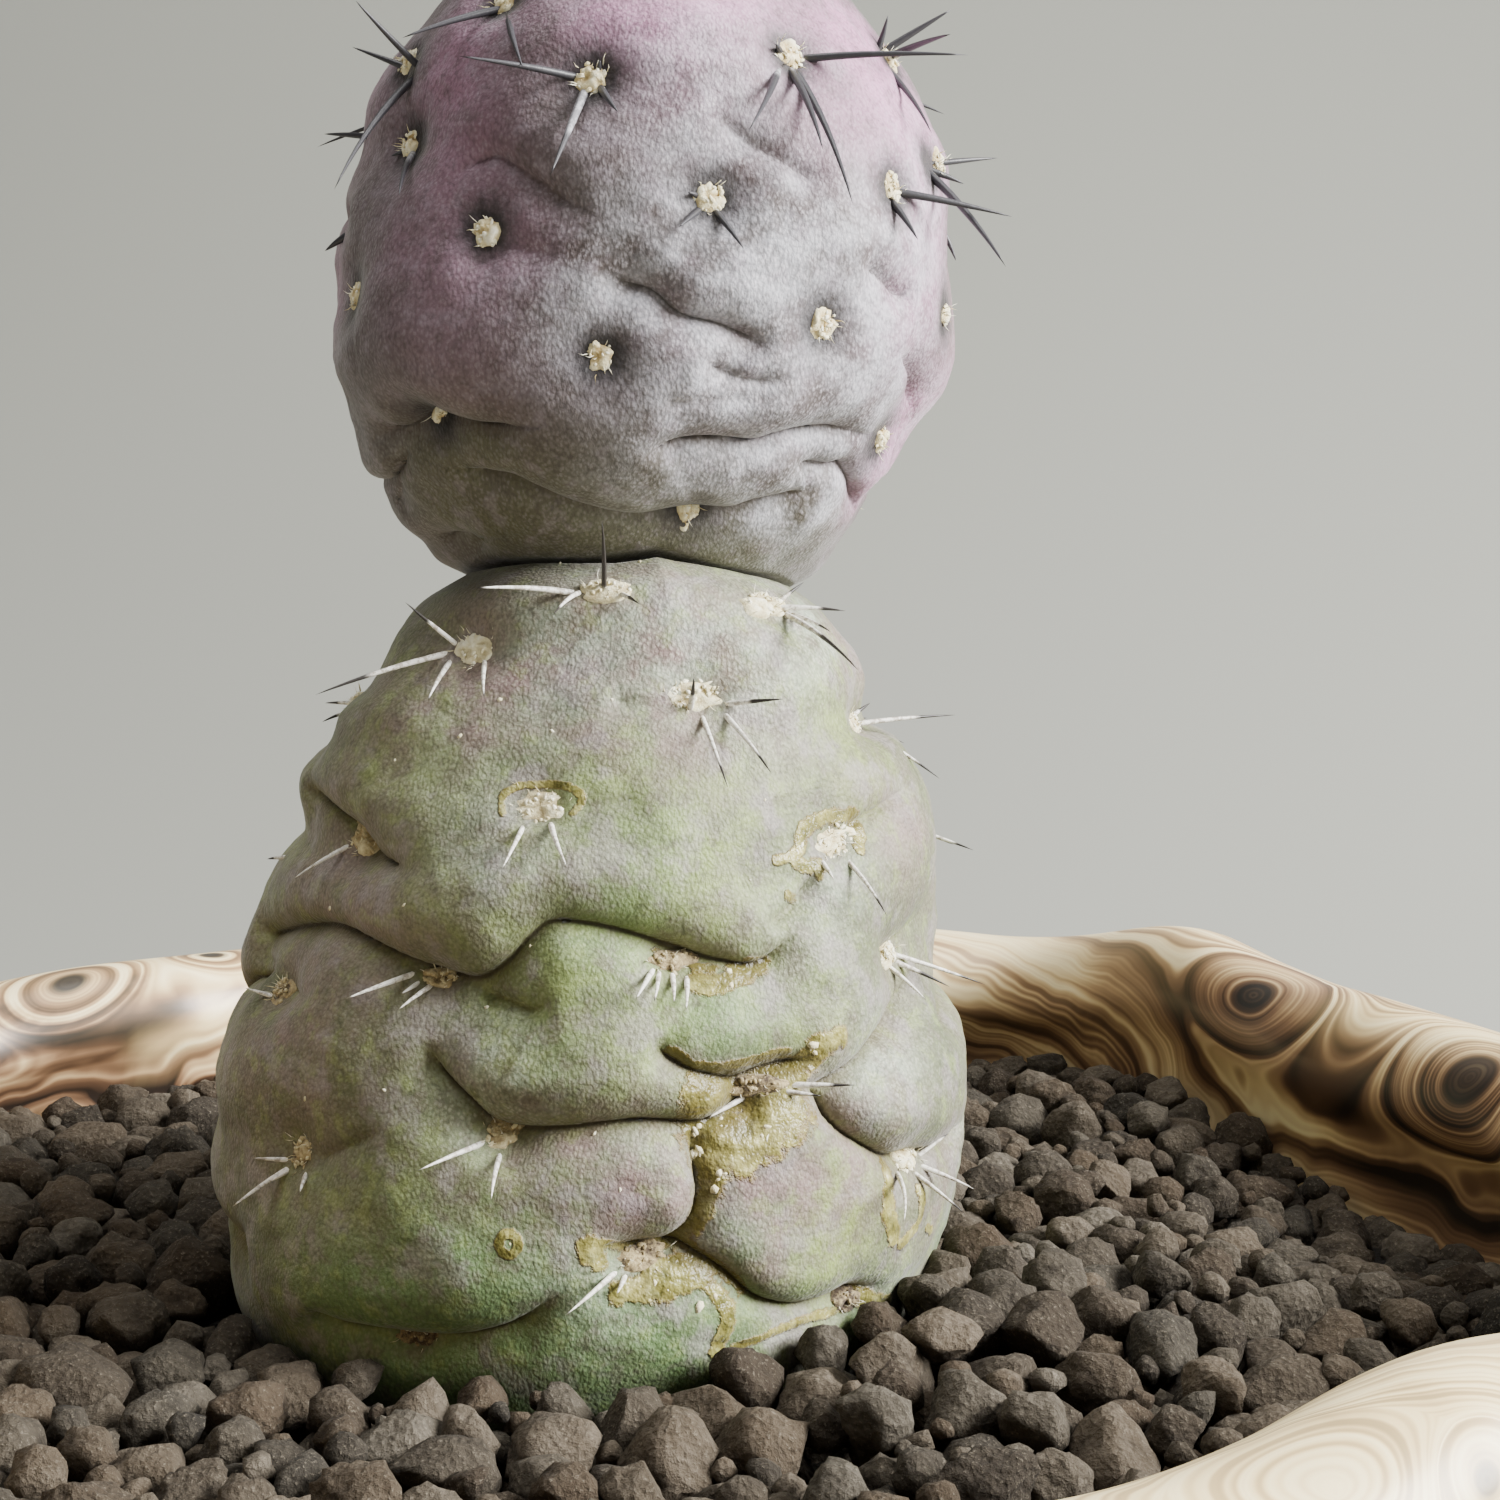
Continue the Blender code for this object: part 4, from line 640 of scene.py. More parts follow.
class Fold:
    """A crease in the skin: a sharp valley whose upper lip rolls over it."""

    def __init__(self, depth, swell, reach, spots):
        self.depth = depth
        self.reach = reach
        self.route = through_points(spots, 4)
        length = np.sum(np.linalg.norm(np.diff(self.route, axis=0), axis=1))
        self.fade = min(0.3, FOLD_FADE / length)
        self.swell = swell * min(1.0, (length / FOLD_LONG) ** 2)
        self.low = self.route.min(axis=0) - 9.0
        self.high = self.route.max(axis=0) + 9.0

    def shape(self, points, normals):
        """Rise, sideways shift and nearness at each point."""
        rise = np.zeros(len(points))
        shift = np.zeros_like(points)
        near = np.zeros(len(points))
        inside = np.flatnonzero(np.all((points > self.low) & (points < self.high), axis=1))
        if not len(inside):
            return rise, shift, near
        spots = points[inside][:, None, :]
        along = self.route[1:] - self.route[:-1]
        t = np.einsum("pki,ki->pk", spots - self.route[:-1], along) / np.sum(along ** 2, axis=1)
        t = np.clip(t, 0, 1)
        away = spots - (self.route[:-1] + t[..., None] * along)
        distance = np.linalg.norm(away, axis=2)
        best = np.argmin(distance, axis=1)
        rows = np.arange(len(inside))
        distance = distance[rows, best]
        away = away[rows, best]
        side = np.sign(np.einsum("ij,ij->i", np.cross(along[best], away), normals[inside]))
        progress = (best + t[rows, best]) / len(along)
        taper = smooth_step(0.0, self.fade, progress) * (1.0 - smooth_step(1.0 - self.fade, 1.0, progress))
        wide = np.sin(math.pi * progress) ** 1.5
        on_line = distance < CREASE_SNAP
        shift[inside] = np.where(on_line[:, None], -away, 0.0)
        distance = np.where(on_line, 0.0, distance)
        above = -self.depth * np.exp(-distance / (LIP_ROUND * self.reach))
        factor, start, end = LIP_SWELL
        bulge = factor * self.swell * ((1.0 - np.exp(-(distance / (start * self.reach)) ** 2))
                                       * np.exp(-(distance / (end * self.reach)) ** 2))
        below = -self.depth * np.exp(-distance / (LEDGE_ROUND * self.reach))
        rise[inside] = np.where(side > 0.0, above * taper + bulge * wide, below * taper)
        share = distance / (LIP_PULL[1] * self.reach)
        whole = min(1.0, self.depth / FULL_DEPTH)
        pull = LIP_PULL[0] * whole * self.reach * share * np.exp(1.0 - share) * taper
        shift[inside] -= unit(away) * np.where(side > 0.0, pull, 0.0)[:, None]
        near[inside] = np.exp(-distance / (CREASE_SHADE * self.reach)) * taper * whole
        return rise, shift, near


def seam_wander(angle):
    """How far the seam between the stem joints strays up or down at an angle."""
    turns = np.radians([at for at, _ in SEAM_WANDER])
    return np.interp(angle, turns, [lift for _, lift in SEAM_WANDER], period=2 * math.pi)


class StemJoint:
    """A turned outline on a leaning axis, with creases, dimpled areoles and soft swells."""

    def __init__(self, outline, relief_span, swells):
        curve = through_points(outline, 16)
        lengths = steps_along(curve)
        self.radii = curve[:, 0]
        self.heights = curve[:, 1]
        self.along = lengths / lengths[-1]
        self.relief_span = relief_span
        self.swells = swells
        self.areoles = []
        self.cushions = []
        self.folds = []
        self.finished = None
        self.draft = None

    def tilt_at(self, height):
        """How strongly the seam's tilt acts at a height."""
        away = np.abs(height - LOWER_HEIGHT)
        return SEAM_TILT * (1.0 - smooth_step(1.0, SEAM_REACH, away))

    def radius_at(self, height):
        return np.interp(height, self.heights, self.radii)

    def lean_at(self, height):
        return np.interp(height, LEAN_CURVE[:, 0], LEAN_CURVE[:, 1])

    def turned(self, angle, height, radius):
        """Points of the turned surface, before any relief."""
        depth = radius * np.sin(angle)
        return np.stack([self.lean_at(height) + radius * np.cos(angle), depth,
                         SOIL_LEVEL + height - self.tilt_at(height) * depth], axis=-1)

    def bare(self, angle, height):
        return self.turned(angle, height, self.radius_at(height))

    def out(self, angle, height):
        """The turned surface's outward direction."""
        step = 0.2
        slope = (self.radius_at(height + step) - self.radius_at(height - step)) / (2 * step)
        return outward(angle, slope)

    def seen_at(self, pixel):
        """Angle and height of the surface point that the photograph shows at a pixel."""
        if self.draft:
            tree, placed, bare, faces = self.draft
            spot, _, number, _ = tree.ray_cast(Vector(CAMERA), Vector(photo_ray(pixel)))
            if spot is not None:
                corners = list(faces[number])
                weights = 1.0 / (np.linalg.norm(placed[corners] - np.array(spot), axis=1) + 0.02)
                x, y, z = np.average(bare[corners], axis=0, weights=weights)
                height = z - SOIL_LEVEL
                for _ in range(3):
                    height = z - SOIL_LEVEL + self.tilt_at(height) * y
                return math.atan2(y, x - self.lean_at(height)), height
        points = CAMERA + np.linspace(110.0, 190.0, 1600)[:, None] * photo_ray(pixel)
        heights = points[:, 2] - SOIL_LEVEL
        heights += self.tilt_at(heights) * points[:, 1]
        within = (heights > self.heights[0]) & (heights < self.heights[-1]) & (points[:, 1] < 2.0)
        clear = np.hypot(points[:, 0] - self.lean_at(heights), points[:, 1]) - self.radius_at(heights)
        clear = np.where(within, clear, 1e3)
        inside = np.flatnonzero(clear < 0.0)
        nearest = inside[0] if len(inside) else int(np.argmin(clear))
        x, y, _ = points[nearest]
        height = heights[nearest]
        return math.atan2(y, x - self.lean_at(height)), height

    def add_areole(self, angle, height, half_width, half_height, pixel=None):
        spot = self.bare(angle, height)
        facing = -unit(spot - CAMERA) @ self.out(angle, height)
        share = min(1.0, 0.25 + 1.5 * max(facing, 0.0)) if pixel else 1.0
        self.areoles.append((angle, height, spot, share))
        self.cushions.append((half_width, half_height, pixel))

    def add_seen_fold(self, depth, swell, reach, pixels):
        spots = [self.bare(*self.seen_at(pixel)) for pixel in pixels]
        self.folds.append(Fold(depth, swell, reach, spots))

    def add_fold_behind(self, first, last, height, rise, depth):
        """A crease that wanders as it goes round, like the ones in front."""
        spots = []
        for t in np.linspace(0.0, 1.0, 9):
            angle = math.radians(first + (last - first) * t)
            wander = FOLD_BEHIND_WANDER * math.sin(7.0 * t + first)
            spots.append(self.bare(angle, height + rise * (t - 0.5) + wander))
        self.folds.append(Fold(depth, 0.4 * depth, 1.0, spots))

    def survey(self, points, normals):
        """The skin's finished place, and how near a crease and an areole it is, at each point."""
        angle = np.arctan2(points[:, 1], points[:, 0])
        height = points[:, 2] - SOIL_LEVEL
        raised = sum(rise * np.sin(times * angle + turn * height + start)
                     for rise, times, turn, start in BROAD_WAVES)
        for middle, level, rise, half_width, half_height in self.swells:
            aside = (np.degrees(angle) - middle + 180.0) % 360.0 - 180.0
            raised += rise * np.exp(-(aside / half_width) ** 2 - ((height - level) / half_height) ** 2)
        halo = np.zeros(len(points))
        for _, _, spot, share in self.areoles:
            distance = np.linalg.norm(points - spot, axis=1)
            for depth, width in (AREOLE_DIMPLE, AREOLE_HOLLOW):
                raised -= share * depth * np.exp(-(distance / width) ** 2)
            halo = np.maximum(halo, np.exp(-(distance / HALO_WIDTH) ** 2))
        shift = np.zeros_like(points)
        fold = np.zeros(len(points))
        for crease in self.folds:
            rise, pull, near = crease.shape(points, normals)
            raised += rise
            shift += pull
            fold = np.maximum(fold, near)
        raised += lumpy(points * np.array([1.0, 1.0, SKIN_FLATTER]), SKIN_LUMPS)
        bottom, full, fading, top = self.relief_span
        fade = smooth_step(bottom, full, height) * (1.0 - smooth_step(fading, top, height))
        placed = points + (raised * fade)[:, None] * normals + shift * fade[:, None]
        round_seam = np.arctan2(points[:, 1], points[:, 0] - SEAM_X)
        placed[:, 2] += seam_wander(round_seam) * np.exp(-((height - LOWER_HEIGHT) / SEAM_WANDER_REACH) ** 2)
        return placed, fold * fade, halo

    def rings(self, rows):
        """Radius, height and slope of rings from bottom to top, few of them in the soil."""
        share = np.where(self.heights < BURIED_HEIGHT, BURIED_SHARE, 1.0)
        weighted = np.concatenate([[0.0], np.cumsum(np.diff(self.along) * share[1:])])
        along = np.linspace(0.0, 1.0, rows + 2) * weighted[-1]
        radii = np.interp(along, weighted, self.radii)
        heights = np.interp(along, weighted, self.heights)
        keep = radii > 1e-6
        return radii[keep], heights[keep], np.gradient(radii[keep], heights[keep])

    def skin(self, rows, columns):
        """Bare points and their outward directions, ring by ring from bottom to top."""
        radii, heights, slopes = self.rings(rows)
        front, back = columns
        angles = np.concatenate([-math.pi + math.pi * np.arange(front) / front,
                                 math.pi * np.arange(back) / back])
        around, radius = np.meshgrid(angles, radii)
        _, height = np.meshgrid(angles, heights)
        _, slope = np.meshgrid(angles, slopes)
        points = self.turned(around, height, radius).reshape(-1, 3)
        return points, outward(around, slope).reshape(-1, 3), len(radii)

    def spot_on_skin(self, angle, height):
        spot = self.bare(angle, height)
        normal = self.out(angle, height)
        return self.survey(spot[None], normal[None])[0][0], normal

    def seen_on_skin(self, pixel):
        """Place and outward direction of the finished skin that the photograph shows at a pixel."""
        spots = []
        normals = []
        for aside, down in ((0, 0), (9, 0), (-9, 0), (0, 9), (0, -9)):
            ray = Vector(photo_ray((pixel[0] + aside, pixel[1] + down)))
            spot, normal, _, _ = self.finished.ray_cast(Vector(CAMERA), ray)
            if spot is not None:
                spots.append(np.array(spot))
                normals.append(np.array(normal))
        angle, height = self.seen_at(pixel)
        if len(spots) < 5:
            return self.spot_on_skin(angle, height)
        return spots[0], unit(np.sum(normals, axis=0) + 1.5 * self.out(angle, height))

    def tinted(self, points, spots, seed, behind):
        """Soft patches of a tint: where the photograph shows them, and by a seeded draw behind."""
        total = np.zeros(len(points))
        for pixel, width, strength in spots:
            middle = self.seen_on_skin(pixel)[0]
            total += strength * np.exp(-np.sum((points - middle) ** 2, axis=1) / width ** 2)
        draw = random.Random(seed)
        for _ in range(behind):
            angle = math.radians(draw.uniform(-10.0, 190.0))
            height = draw.uniform(self.heights[0] + 8.0, self.heights[-1] - 2.0)
            middle = self.bare(angle, height)
            width = draw.uniform(3.0, 6.0)
            total += 0.7 * np.exp(-np.sum((points - middle) ** 2, axis=1) / width ** 2)
        return np.clip(total, 0.0, 1.0)

    def stroked(self, points, strokes):
        """1 on the strokes' middle lines, 0 at their edges and below 0 outside."""
        best = np.full(len(points), -1.0)
        for half_width, pixels in strokes:
            route = through_points([self.seen_on_skin(pixel)[0] for pixel in pixels], 4)
            best = np.maximum(best, 1.0 - route_distance(points, route) / half_width)
        return best


def lay(joint, areoles, rows_behind, folds, folds_behind, cushion_behind, seed):
    """Areoles and creases where the photograph shows them, and more round the rest."""
    joint.areoles, joint.cushions, joint.folds = [], [], []
    for pixel, half_width, half_height in areoles:
        joint.add_areole(*joint.seen_at(pixel), half_width, half_height, pixel)
    draw = random.Random(seed)
    aside, updown = AREOLE_STRAY
    for height, first, count, step in rows_behind:
        for i in range(count):
            angle = math.radians(first + i * step + draw.uniform(-aside, aside))
            joint.add_areole(angle, height + draw.uniform(-updown, updown), *cushion_behind)
    for fold in folds:
        joint.add_seen_fold(*fold)
    for fold in folds_behind:
        joint.add_fold_behind(*fold)


def stem_joint(outline, relief_span, swells, *features):
    """A joint whose features are laid twice, the second time by where a draft of the skin shows them."""
    joint = StemJoint(outline, relief_span, swells)
    lay(joint, *features)
    points, normals, ring_count = joint.skin(DRAFT_RINGS, DRAFT_COLUMNS)
    placed, _, _ = joint.survey(points, normals)
    faces = ring_faces(ring_count, sum(DRAFT_COLUMNS)).tolist()
    joint.draft = (BVHTree.FromPolygons(placed.tolist(), faces), placed, points, faces)
    lay(joint, *features)
    return joint


def stem_skin(name, joint, rows, columns, mat, tints, cork=()):
    """The closed skin, with its tints, creases and scabs as fields."""
    points, normals, ring_count = joint.skin(rows, columns)
    placed, fold, halo = joint.survey(points, normals)
    column_count = sum(columns)
    faces = ring_faces(ring_count, column_count).tolist()
    joint.finished = BVHTree.FromPolygons(placed.tolist(), faces)
    # fold is each point's nearness to a crease, which the skin finishes darken as painted shade
    fields = {"fold": fold, "halo": halo}
    for number, (field, spots) in enumerate(tints.items()):
        fields[field] = joint.tinted(placed, spots, seed=50 + number, behind=9)
    fields["cork"] = joint.stroked(placed, cork)
    ragged = fields["cork"] + CRUST_RAGGED * rough(placed / 0.9, 91)
    placed = placed + (CORK_RISE * smooth_step(0.0, 0.3, ragged))[:, None] * normals
    ends = [[joint.lean_at(joint.heights[end]), 0.0, SOIL_LEVEL + joint.heights[end]] for end in (0, -1)]
    close_ends(faces, ring_count, column_count, len(points), len(points) + 1)
    placed = np.vstack([placed] + ends)
    fields = {field: np.append(values, [values[0], values[-1]]) for field, values in fields.items()}
    return piece(name, placed, faces, mat, fields)


# Areoles and spines

def local_axes(normal):
    """Sideways and upward directions in the skin at a place with this outward direction."""
    side = unit(np.cross(np.array([0.0, 0.0, 1.0]), normal) + np.array([1e-6, 0.0, 0.0]))
    return side, np.cross(normal, side)


def crumb(heap, middle, normal, radius, draw, **fields):
    """A tiny uneven flake that lies on the skin."""
    points, faces = ball(1)
    side, up = local_axes(normal)
    turn = draw.uniform(0.0, math.pi)
    long_way = math.cos(turn) * side + math.sin(turn) * up
    cross_way = math.cos(turn) * up - math.sin(turn) * side
    size = radius * np.array([draw.uniform(0.8, 1.7), draw.uniform(0.6, 1.0), draw.uniform(0.4, 0.8)])
    jitter = np.array([draw.uniform(0.65, 1.25) for _ in range(len(points))])[:, None]
    lump = points * size * jitter
    heap.add(middle + lump @ np.stack([long_way, cross_way, normal]), faces, **fields)


def on_cushion(spot, axes, half_width, half_height, spread, draw):
    """A drawn place on a cushion, its angle and its share of the way out."""
    a = draw.uniform(0.0, 2 * math.pi)
    r = spread * math.sqrt(draw.random())
    place = spot + r * half_width * math.cos(a) * axes[0] + r * half_height * math.sin(a) * axes[1]
    return place, a, r


def cushion(heap, spot, normal, half_width, half_height, draw, seed, crumbs, pale):
    """A low, crumbly cushion of matted wool."""
    side, up = local_axes(normal)
    turns = 2 * math.pi * np.arange(CUSHION_SIDES) / CUSHION_SIDES
    rim = np.stack([2.2 * np.cos(turns), 2.2 * np.sin(turns), 0 * turns + seed], axis=1)
    ragged = 1.0 + 0.22 * rough(rim, 81)
    points = []
    for share, level in CUSHION_RINGS:
        for a, edge in zip(turns, ragged):
            points.append(spot + share * half_width * edge * math.cos(a) * side
                          + share * half_height * edge * math.sin(a) * up + level * normal)
    points.append(spot + 0.30 * normal)
    points = np.array(points)
    lumps = lumpy(points, [(0.13, 0.45, seed), (0.12, 0.22, seed + 1)])
    points = points + lumps[:, None] * normal + 0.5 * lumps[:, None] * unit(points - spot)
    faces = ring_faces(len(CUSHION_RINGS), CUSHION_SIDES).tolist()
    top = (len(CUSHION_RINGS) - 1) * CUSHION_SIDES
    # The cushion is darker where its lumps sink: painted shade between the crumbs.
    heap.add(points, faces, shade=pale * (0.3 + 0.6 * smooth_step(-0.1, 0.2, lumps)))
    start = heap.count - len(points)
    for i in range(CUSHION_SIDES):
        heap.faces.append((start + len(points) - 1, start + top + i, start + top + (i + 1) % CUSHION_SIDES))
    for _ in range(crumbs):
        place, _, r = on_cushion(spot, (side, up), half_width, half_height, 0.95, draw)
        size = draw.uniform(*WOOL_CRUMB)
        middle = place + (0.32 * (1.0 - r * r) + 0.04) * normal
        crumb(heap, middle, normal, size, draw, shade=pale * draw.uniform(0.5, 1.0))


def tufts(heap, spot, normal, half_width, half_height, count, draw):
    """Short barbed bristles and threads of wool that stand out of a cushion."""
    side, up = local_axes(normal)
    for _ in range(count):
        root, a, r = on_cushion(spot, (side, up), half_width, half_height, 1.0, draw)
        root = root + 0.1 * normal
        sideways = r * math.cos(a) + draw.uniform(-0.6, 0.6)
        upwards = r * math.sin(a) + draw.uniform(-0.6, 0.6)
        lean = sideways * side + upwards * up
        tip = root + draw.uniform(0.5, 0.95) * unit(normal + 0.9 * lean)
        bend = 0.5 * (root + tip) + draw.uniform(-0.12, 0.12) * side + draw.uniform(-0.12, 0.12) * up
        tube(heap, [root, bend, tip], draw.uniform(0.03, 0.05), 3, shade=draw.uniform(0.4, 1.0))


def tube(heap, route, radius, sides, blunt=0.12, **fields):
    """A tapering round body along a route."""
    route = np.array(route)
    forward = unit(np.gradient(route, axis=0))
    side = unit(np.cross(forward, np.array([0.31, 0.17, 0.93])))
    up = np.cross(forward, side)
    count = len(route)
    along = np.linspace(0.0, 1.0, count)
    widths = radius * (blunt + (1.0 - blunt) * (1.0 - along ** 1.9))
    points = []
    for k in range(count - 1):
        for i in range(sides):
            a = 2 * math.pi * i / sides
            points.append(route[k] + widths[k] * (math.cos(a) * side[k] + math.sin(a) * up[k]))
    points.append(route[-1])
    faces = ring_faces(count - 1, sides).tolist()
    last = (count - 2) * sides
    fields = {field: (np.append(np.repeat(np.asarray(values)[:-1], sides), np.asarray(values)[-1])
                      if np.ndim(values) else values) for field, values in fields.items()}
    heap.add(np.array(points), faces, **fields)
    start = heap.count - len(points)
    for i in range(sides):
        heap.faces.append((start + last + i, start + last + (i + 1) % sides, start + len(points) - 1))
    heap.faces.append(tuple(start + i for i in range(sides - 1, -1, -1)))


def spine(heap, spot, normal, tip, dark, radius, draw):
    """A slightly bowed spine, rooted in its cushion."""
    root = spot - 0.5 * normal
    length = np.linalg.norm(tip - root)
    aside = draw.uniform(-0.03, 0.03) * length * local_axes(normal)[0]
    bow = root + 0.45 * (tip - root) + 0.07 * length * normal + aside
    t = np.linspace(0.0, 1.0, 11)[:, None]
    route = (1 - t) ** 2 * root + 2 * t * (1 - t) * bow + t ** 2 * tip
    tube(heap, route, radius, 8, blunt=0.1, along=t[:, 0], dark=dark, length=length,
         shade=draw.uniform(0.0, 1.0))


def tip_on_ray(root, normal, pixel, lift):
    """The point on a pixel's ray whose spine from root leans off the skin by about the lift."""
    ray = photo_ray(pixel)
    reach = (root - CAMERA) @ ray + np.linspace(-9.0, 5.0, 141)
    tips = CAMERA + reach[:, None] * ray
    lengths = np.linalg.norm(tips - root, axis=1)
    lean = (tips - root) @ normal / lengths
    return tips[np.argmin(np.abs(lean - lift) + 0.01 * lengths)]


def seen_spines(heap, joint, spines, lift, radius, draw):
    """The spines that the photograph shows."""
    for root_pixel, tip_pixel, dark in spines:
        spot, normal = joint.seen_on_skin(root_pixel)
        rising = root_pixel[1] - tip_pixel[1] > RISING_PIXELS
        tip = tip_on_ray(spot, normal, tip_pixel, STEEP_LIFT if rising else lift)
        spine(heap, spot, normal, tip, dark, radius * draw.uniform(0.85, 1.1), draw)


def spines_behind(heap, joint, areoles, lengths, dark, radius, seed):
    """Two long spines fanned downwards from each of the given areoles, and a shorter one."""
    draw = random.Random(seed)
    trim = random.Random(seed + 100)
    for angle, height, *_ in areoles:
        spot, normal = joint.spot_on_skin(angle, height)
        across = np.array([-math.sin(angle), math.cos(angle), 0.0])
        down = np.cross(across, normal)
        down = down if down[2] < 0.0 else -down

        def fanned(swing, lift):
            swing = math.radians(swing)
            lift = math.radians(lift)
            flat = math.cos(swing) * down + math.sin(swing) * across
            return math.cos(lift) * flat + math.sin(lift) * normal

        for swing in draw.choice(SPINE_FANS):
            way = fanned(swing + draw.uniform(-9, 9), draw.uniform(28, 46))
            tip = spot + draw.uniform(*lengths) * way
            spine(heap, spot, normal, tip, dark * trim.uniform(0.3, 1.0), radius, trim)
        way = fanned(trim.uniform(-100, 100), trim.uniform(20, 60))
        tip = spot + 0.6 * lengths[0] * trim.uniform(0.7, 1.3) * way
        spine(heap, spot, normal, tip, dark * trim.uniform(0.2, 1.0), 0.8 * radius, trim)


def dress(joint, name, spines, habit, specks, wool_mat, spine_mat, seed):
    """The cushions, white specks and spines of a stem joint."""
    radius, lift, lowest, lengths, dark_behind = habit
    draw = random.Random(seed + 7)
    wool = Heap()
    for number, (areole, cushion_size) in enumerate(zip(joint.areoles, joint.cushions)):
        half_width, half_height, pixel = cushion_size
        spot, normal = joint.seen_on_skin(pixel) if pixel else joint.spot_on_skin(areole[0], areole[1])
        crumbs = int(9 + 9 * half_width * half_height) if pixel else 6
        # Areoles in creases get darker wool, as painted shade.
        cushion(wool, spot, normal, half_width, half_height, draw, seed + 3 * number, crumbs,
                CREASE_SHADED_WOOL.get(pixel, 1.0))
        tufts(wool, spot, normal, half_width, half_height, int(5 + 5 * half_width * half_height), draw)
    for pixel, spread, count in specks:
        for _ in range(count):
            near = (pixel[0] + draw.gauss(0.0, 0.6) * spread, pixel[1] + draw.gauss(0.0, 0.6) * spread)
            spot, normal = joint.seen_on_skin(near)
            size = draw.uniform(*(SPECK if spread == 0 else CORK_CRUMB))
            crumb(wool, spot + 0.01 * normal, normal, size, draw, shade=draw.uniform(0.5, 0.9))
    made_wool = wool.piece(name + "_wool", wool_mat)
    needles = Heap()
    seen_spines(needles, joint, spines, lift, radius, draw)
    spined = [areole for areole, (_, _, pixel) in zip(joint.areoles, joint.cushions)
              if not pixel and areole[1] > lowest]
    spines_behind(needles, joint, spined, lengths, dark_behind, radius, seed)
    made_spines = needles.piece(name + "_spines", spine_mat)
    return made_wool, made_spines


# The bowl

def wave(angle, part):
    """The lip's push (part 1) or lift (part 2) at angles in degrees."""
    angle = np.asarray(angle, dtype=float)
    apart = (angle[..., None] - LIP_WAVES[:, 0] + 180.0) % 360.0 - 180.0
    return np.sum(LIP_WAVES[:, part] * np.exp(-(apart / LIP_WAVES[:, 3]) ** 2), axis=-1)


def warped(radius, level, angle):
    """Points of the bowl's section, pushed and lifted with the lip's waves."""
    pushed = radius + wave(angle, 1) * smooth_step(6.0, SOIL_LEVEL, level)
    lifted = level + wave(angle, 2) * smooth_step(SOIL_LEVEL, LIP_LEVEL, level)
    turn = np.radians(angle)
    return np.stack([pushed * np.cos(turn), pushed * np.sin(turn), lifted], axis=-1) + BOWL_SHIFT


def turned_section(section, columns):
    """The points of a section carried round the bowl, and the angles of its columns."""
    angles = 360.0 * np.arange(columns) / columns
    points = [warped(np.full(columns, radius), np.full(columns, level), angles) for radius, level in section]
    return np.vstack(points), angles


def bowl_section():
    """The section of the bowl's wall as a closed loop, from the drain hole outwards."""
    foot_inside = FOOT_RADIUS - FOOT_WIDTH
    underside = [(DRAIN_RADIUS, FOOT_HEIGHT + 0.4), (DRAIN_RADIUS + 0.5, FOOT_HEIGHT),
                 (foot_inside - 1.0, FOOT_HEIGHT), (foot_inside - 0.2, 0.4), (foot_inside + 0.3, 0.0),
                 (FOOT_RADIUS - 0.4, 0.0), (FOOT_RADIUS + 0.1, 0.5), (FOOT_RADIUS + 1.0, FOOT_HEIGHT)]
    outside = through_points(BOWL_OUTSIDE, 7)[1:]
    lip = []
    for turn in np.radians(np.linspace(*LIP_TURN)):
        lip.append((LIP_RADIUS + LIP_ROLL * math.cos(turn), LIP_LEVEL + LIP_ROLL * math.sin(turn)))
    inside = through_points(BOWL_INSIDE, 6)
    drain = [(DRAIN_RADIUS + 0.5, FLOOR_LEVEL), (DRAIN_RADIUS, FLOOR_LEVEL - 0.4)]
    return np.vstack([underside, outside, lip, inside, drain])


def bowl(mat):
    """The bowl, with the length along its section as a field for the glaze's grain."""
    section = bowl_section()
    steps = steps_along(section)
    points, angles = turned_section(section, BOWL_COLUMNS)
    lumps = lumpy(points, BOWL_LUMPS) * smooth_step(6.0, 20.0, points[:, 2])
    points = points + lumps[:, None] * unit(points - BOWL_SWELL_FROM)
    across = np.repeat(steps, BOWL_COLUMNS)
    reach, times, fastest = GRAIN_DRIFT
    drift = reach * np.sin(times * np.radians(np.tile(angles, len(section)) - fastest))
    faces = ring_faces(len(section), BOWL_COLUMNS, closed_rows=True)
    fields = {"across": across, "drift": drift, "dark_grain_and_shade": bowl_stroked(points, DARK_GRAIN_AND_SHADE),
              "pale": bowl_stroked(points, PALE_GLAZE_AND_HIGHLIGHT)}
    return piece("bowl", points, faces, mat, fields), points, across, steps


def places_on_bowl(points, pixels):
    """The nearest points of the bowl's wall that the photograph shows at pixels, or beyond its edges."""
    x, y, depth = photo_pixels(points)
    found = []
    for pixel in pixels:
        apart = np.hypot(x - pixel[0], y - pixel[1])
        found.append(int(np.argmin(np.where(apart < 40.0, apart + 2.0 * depth, 1e6 + apart))))
    return found


def bowl_stroked(points, strokes):
    """How strongly soft strokes, drawn by pixel, cover each point of the bowl."""
    total = np.zeros(len(points))
    for half_width, strength, pixels in strokes:
        route = through_points(points[places_on_bowl(points, pixels)], 4)
        total = np.maximum(total, strength * np.exp(-(route_distance(points, route) / half_width) ** 2))
    return total


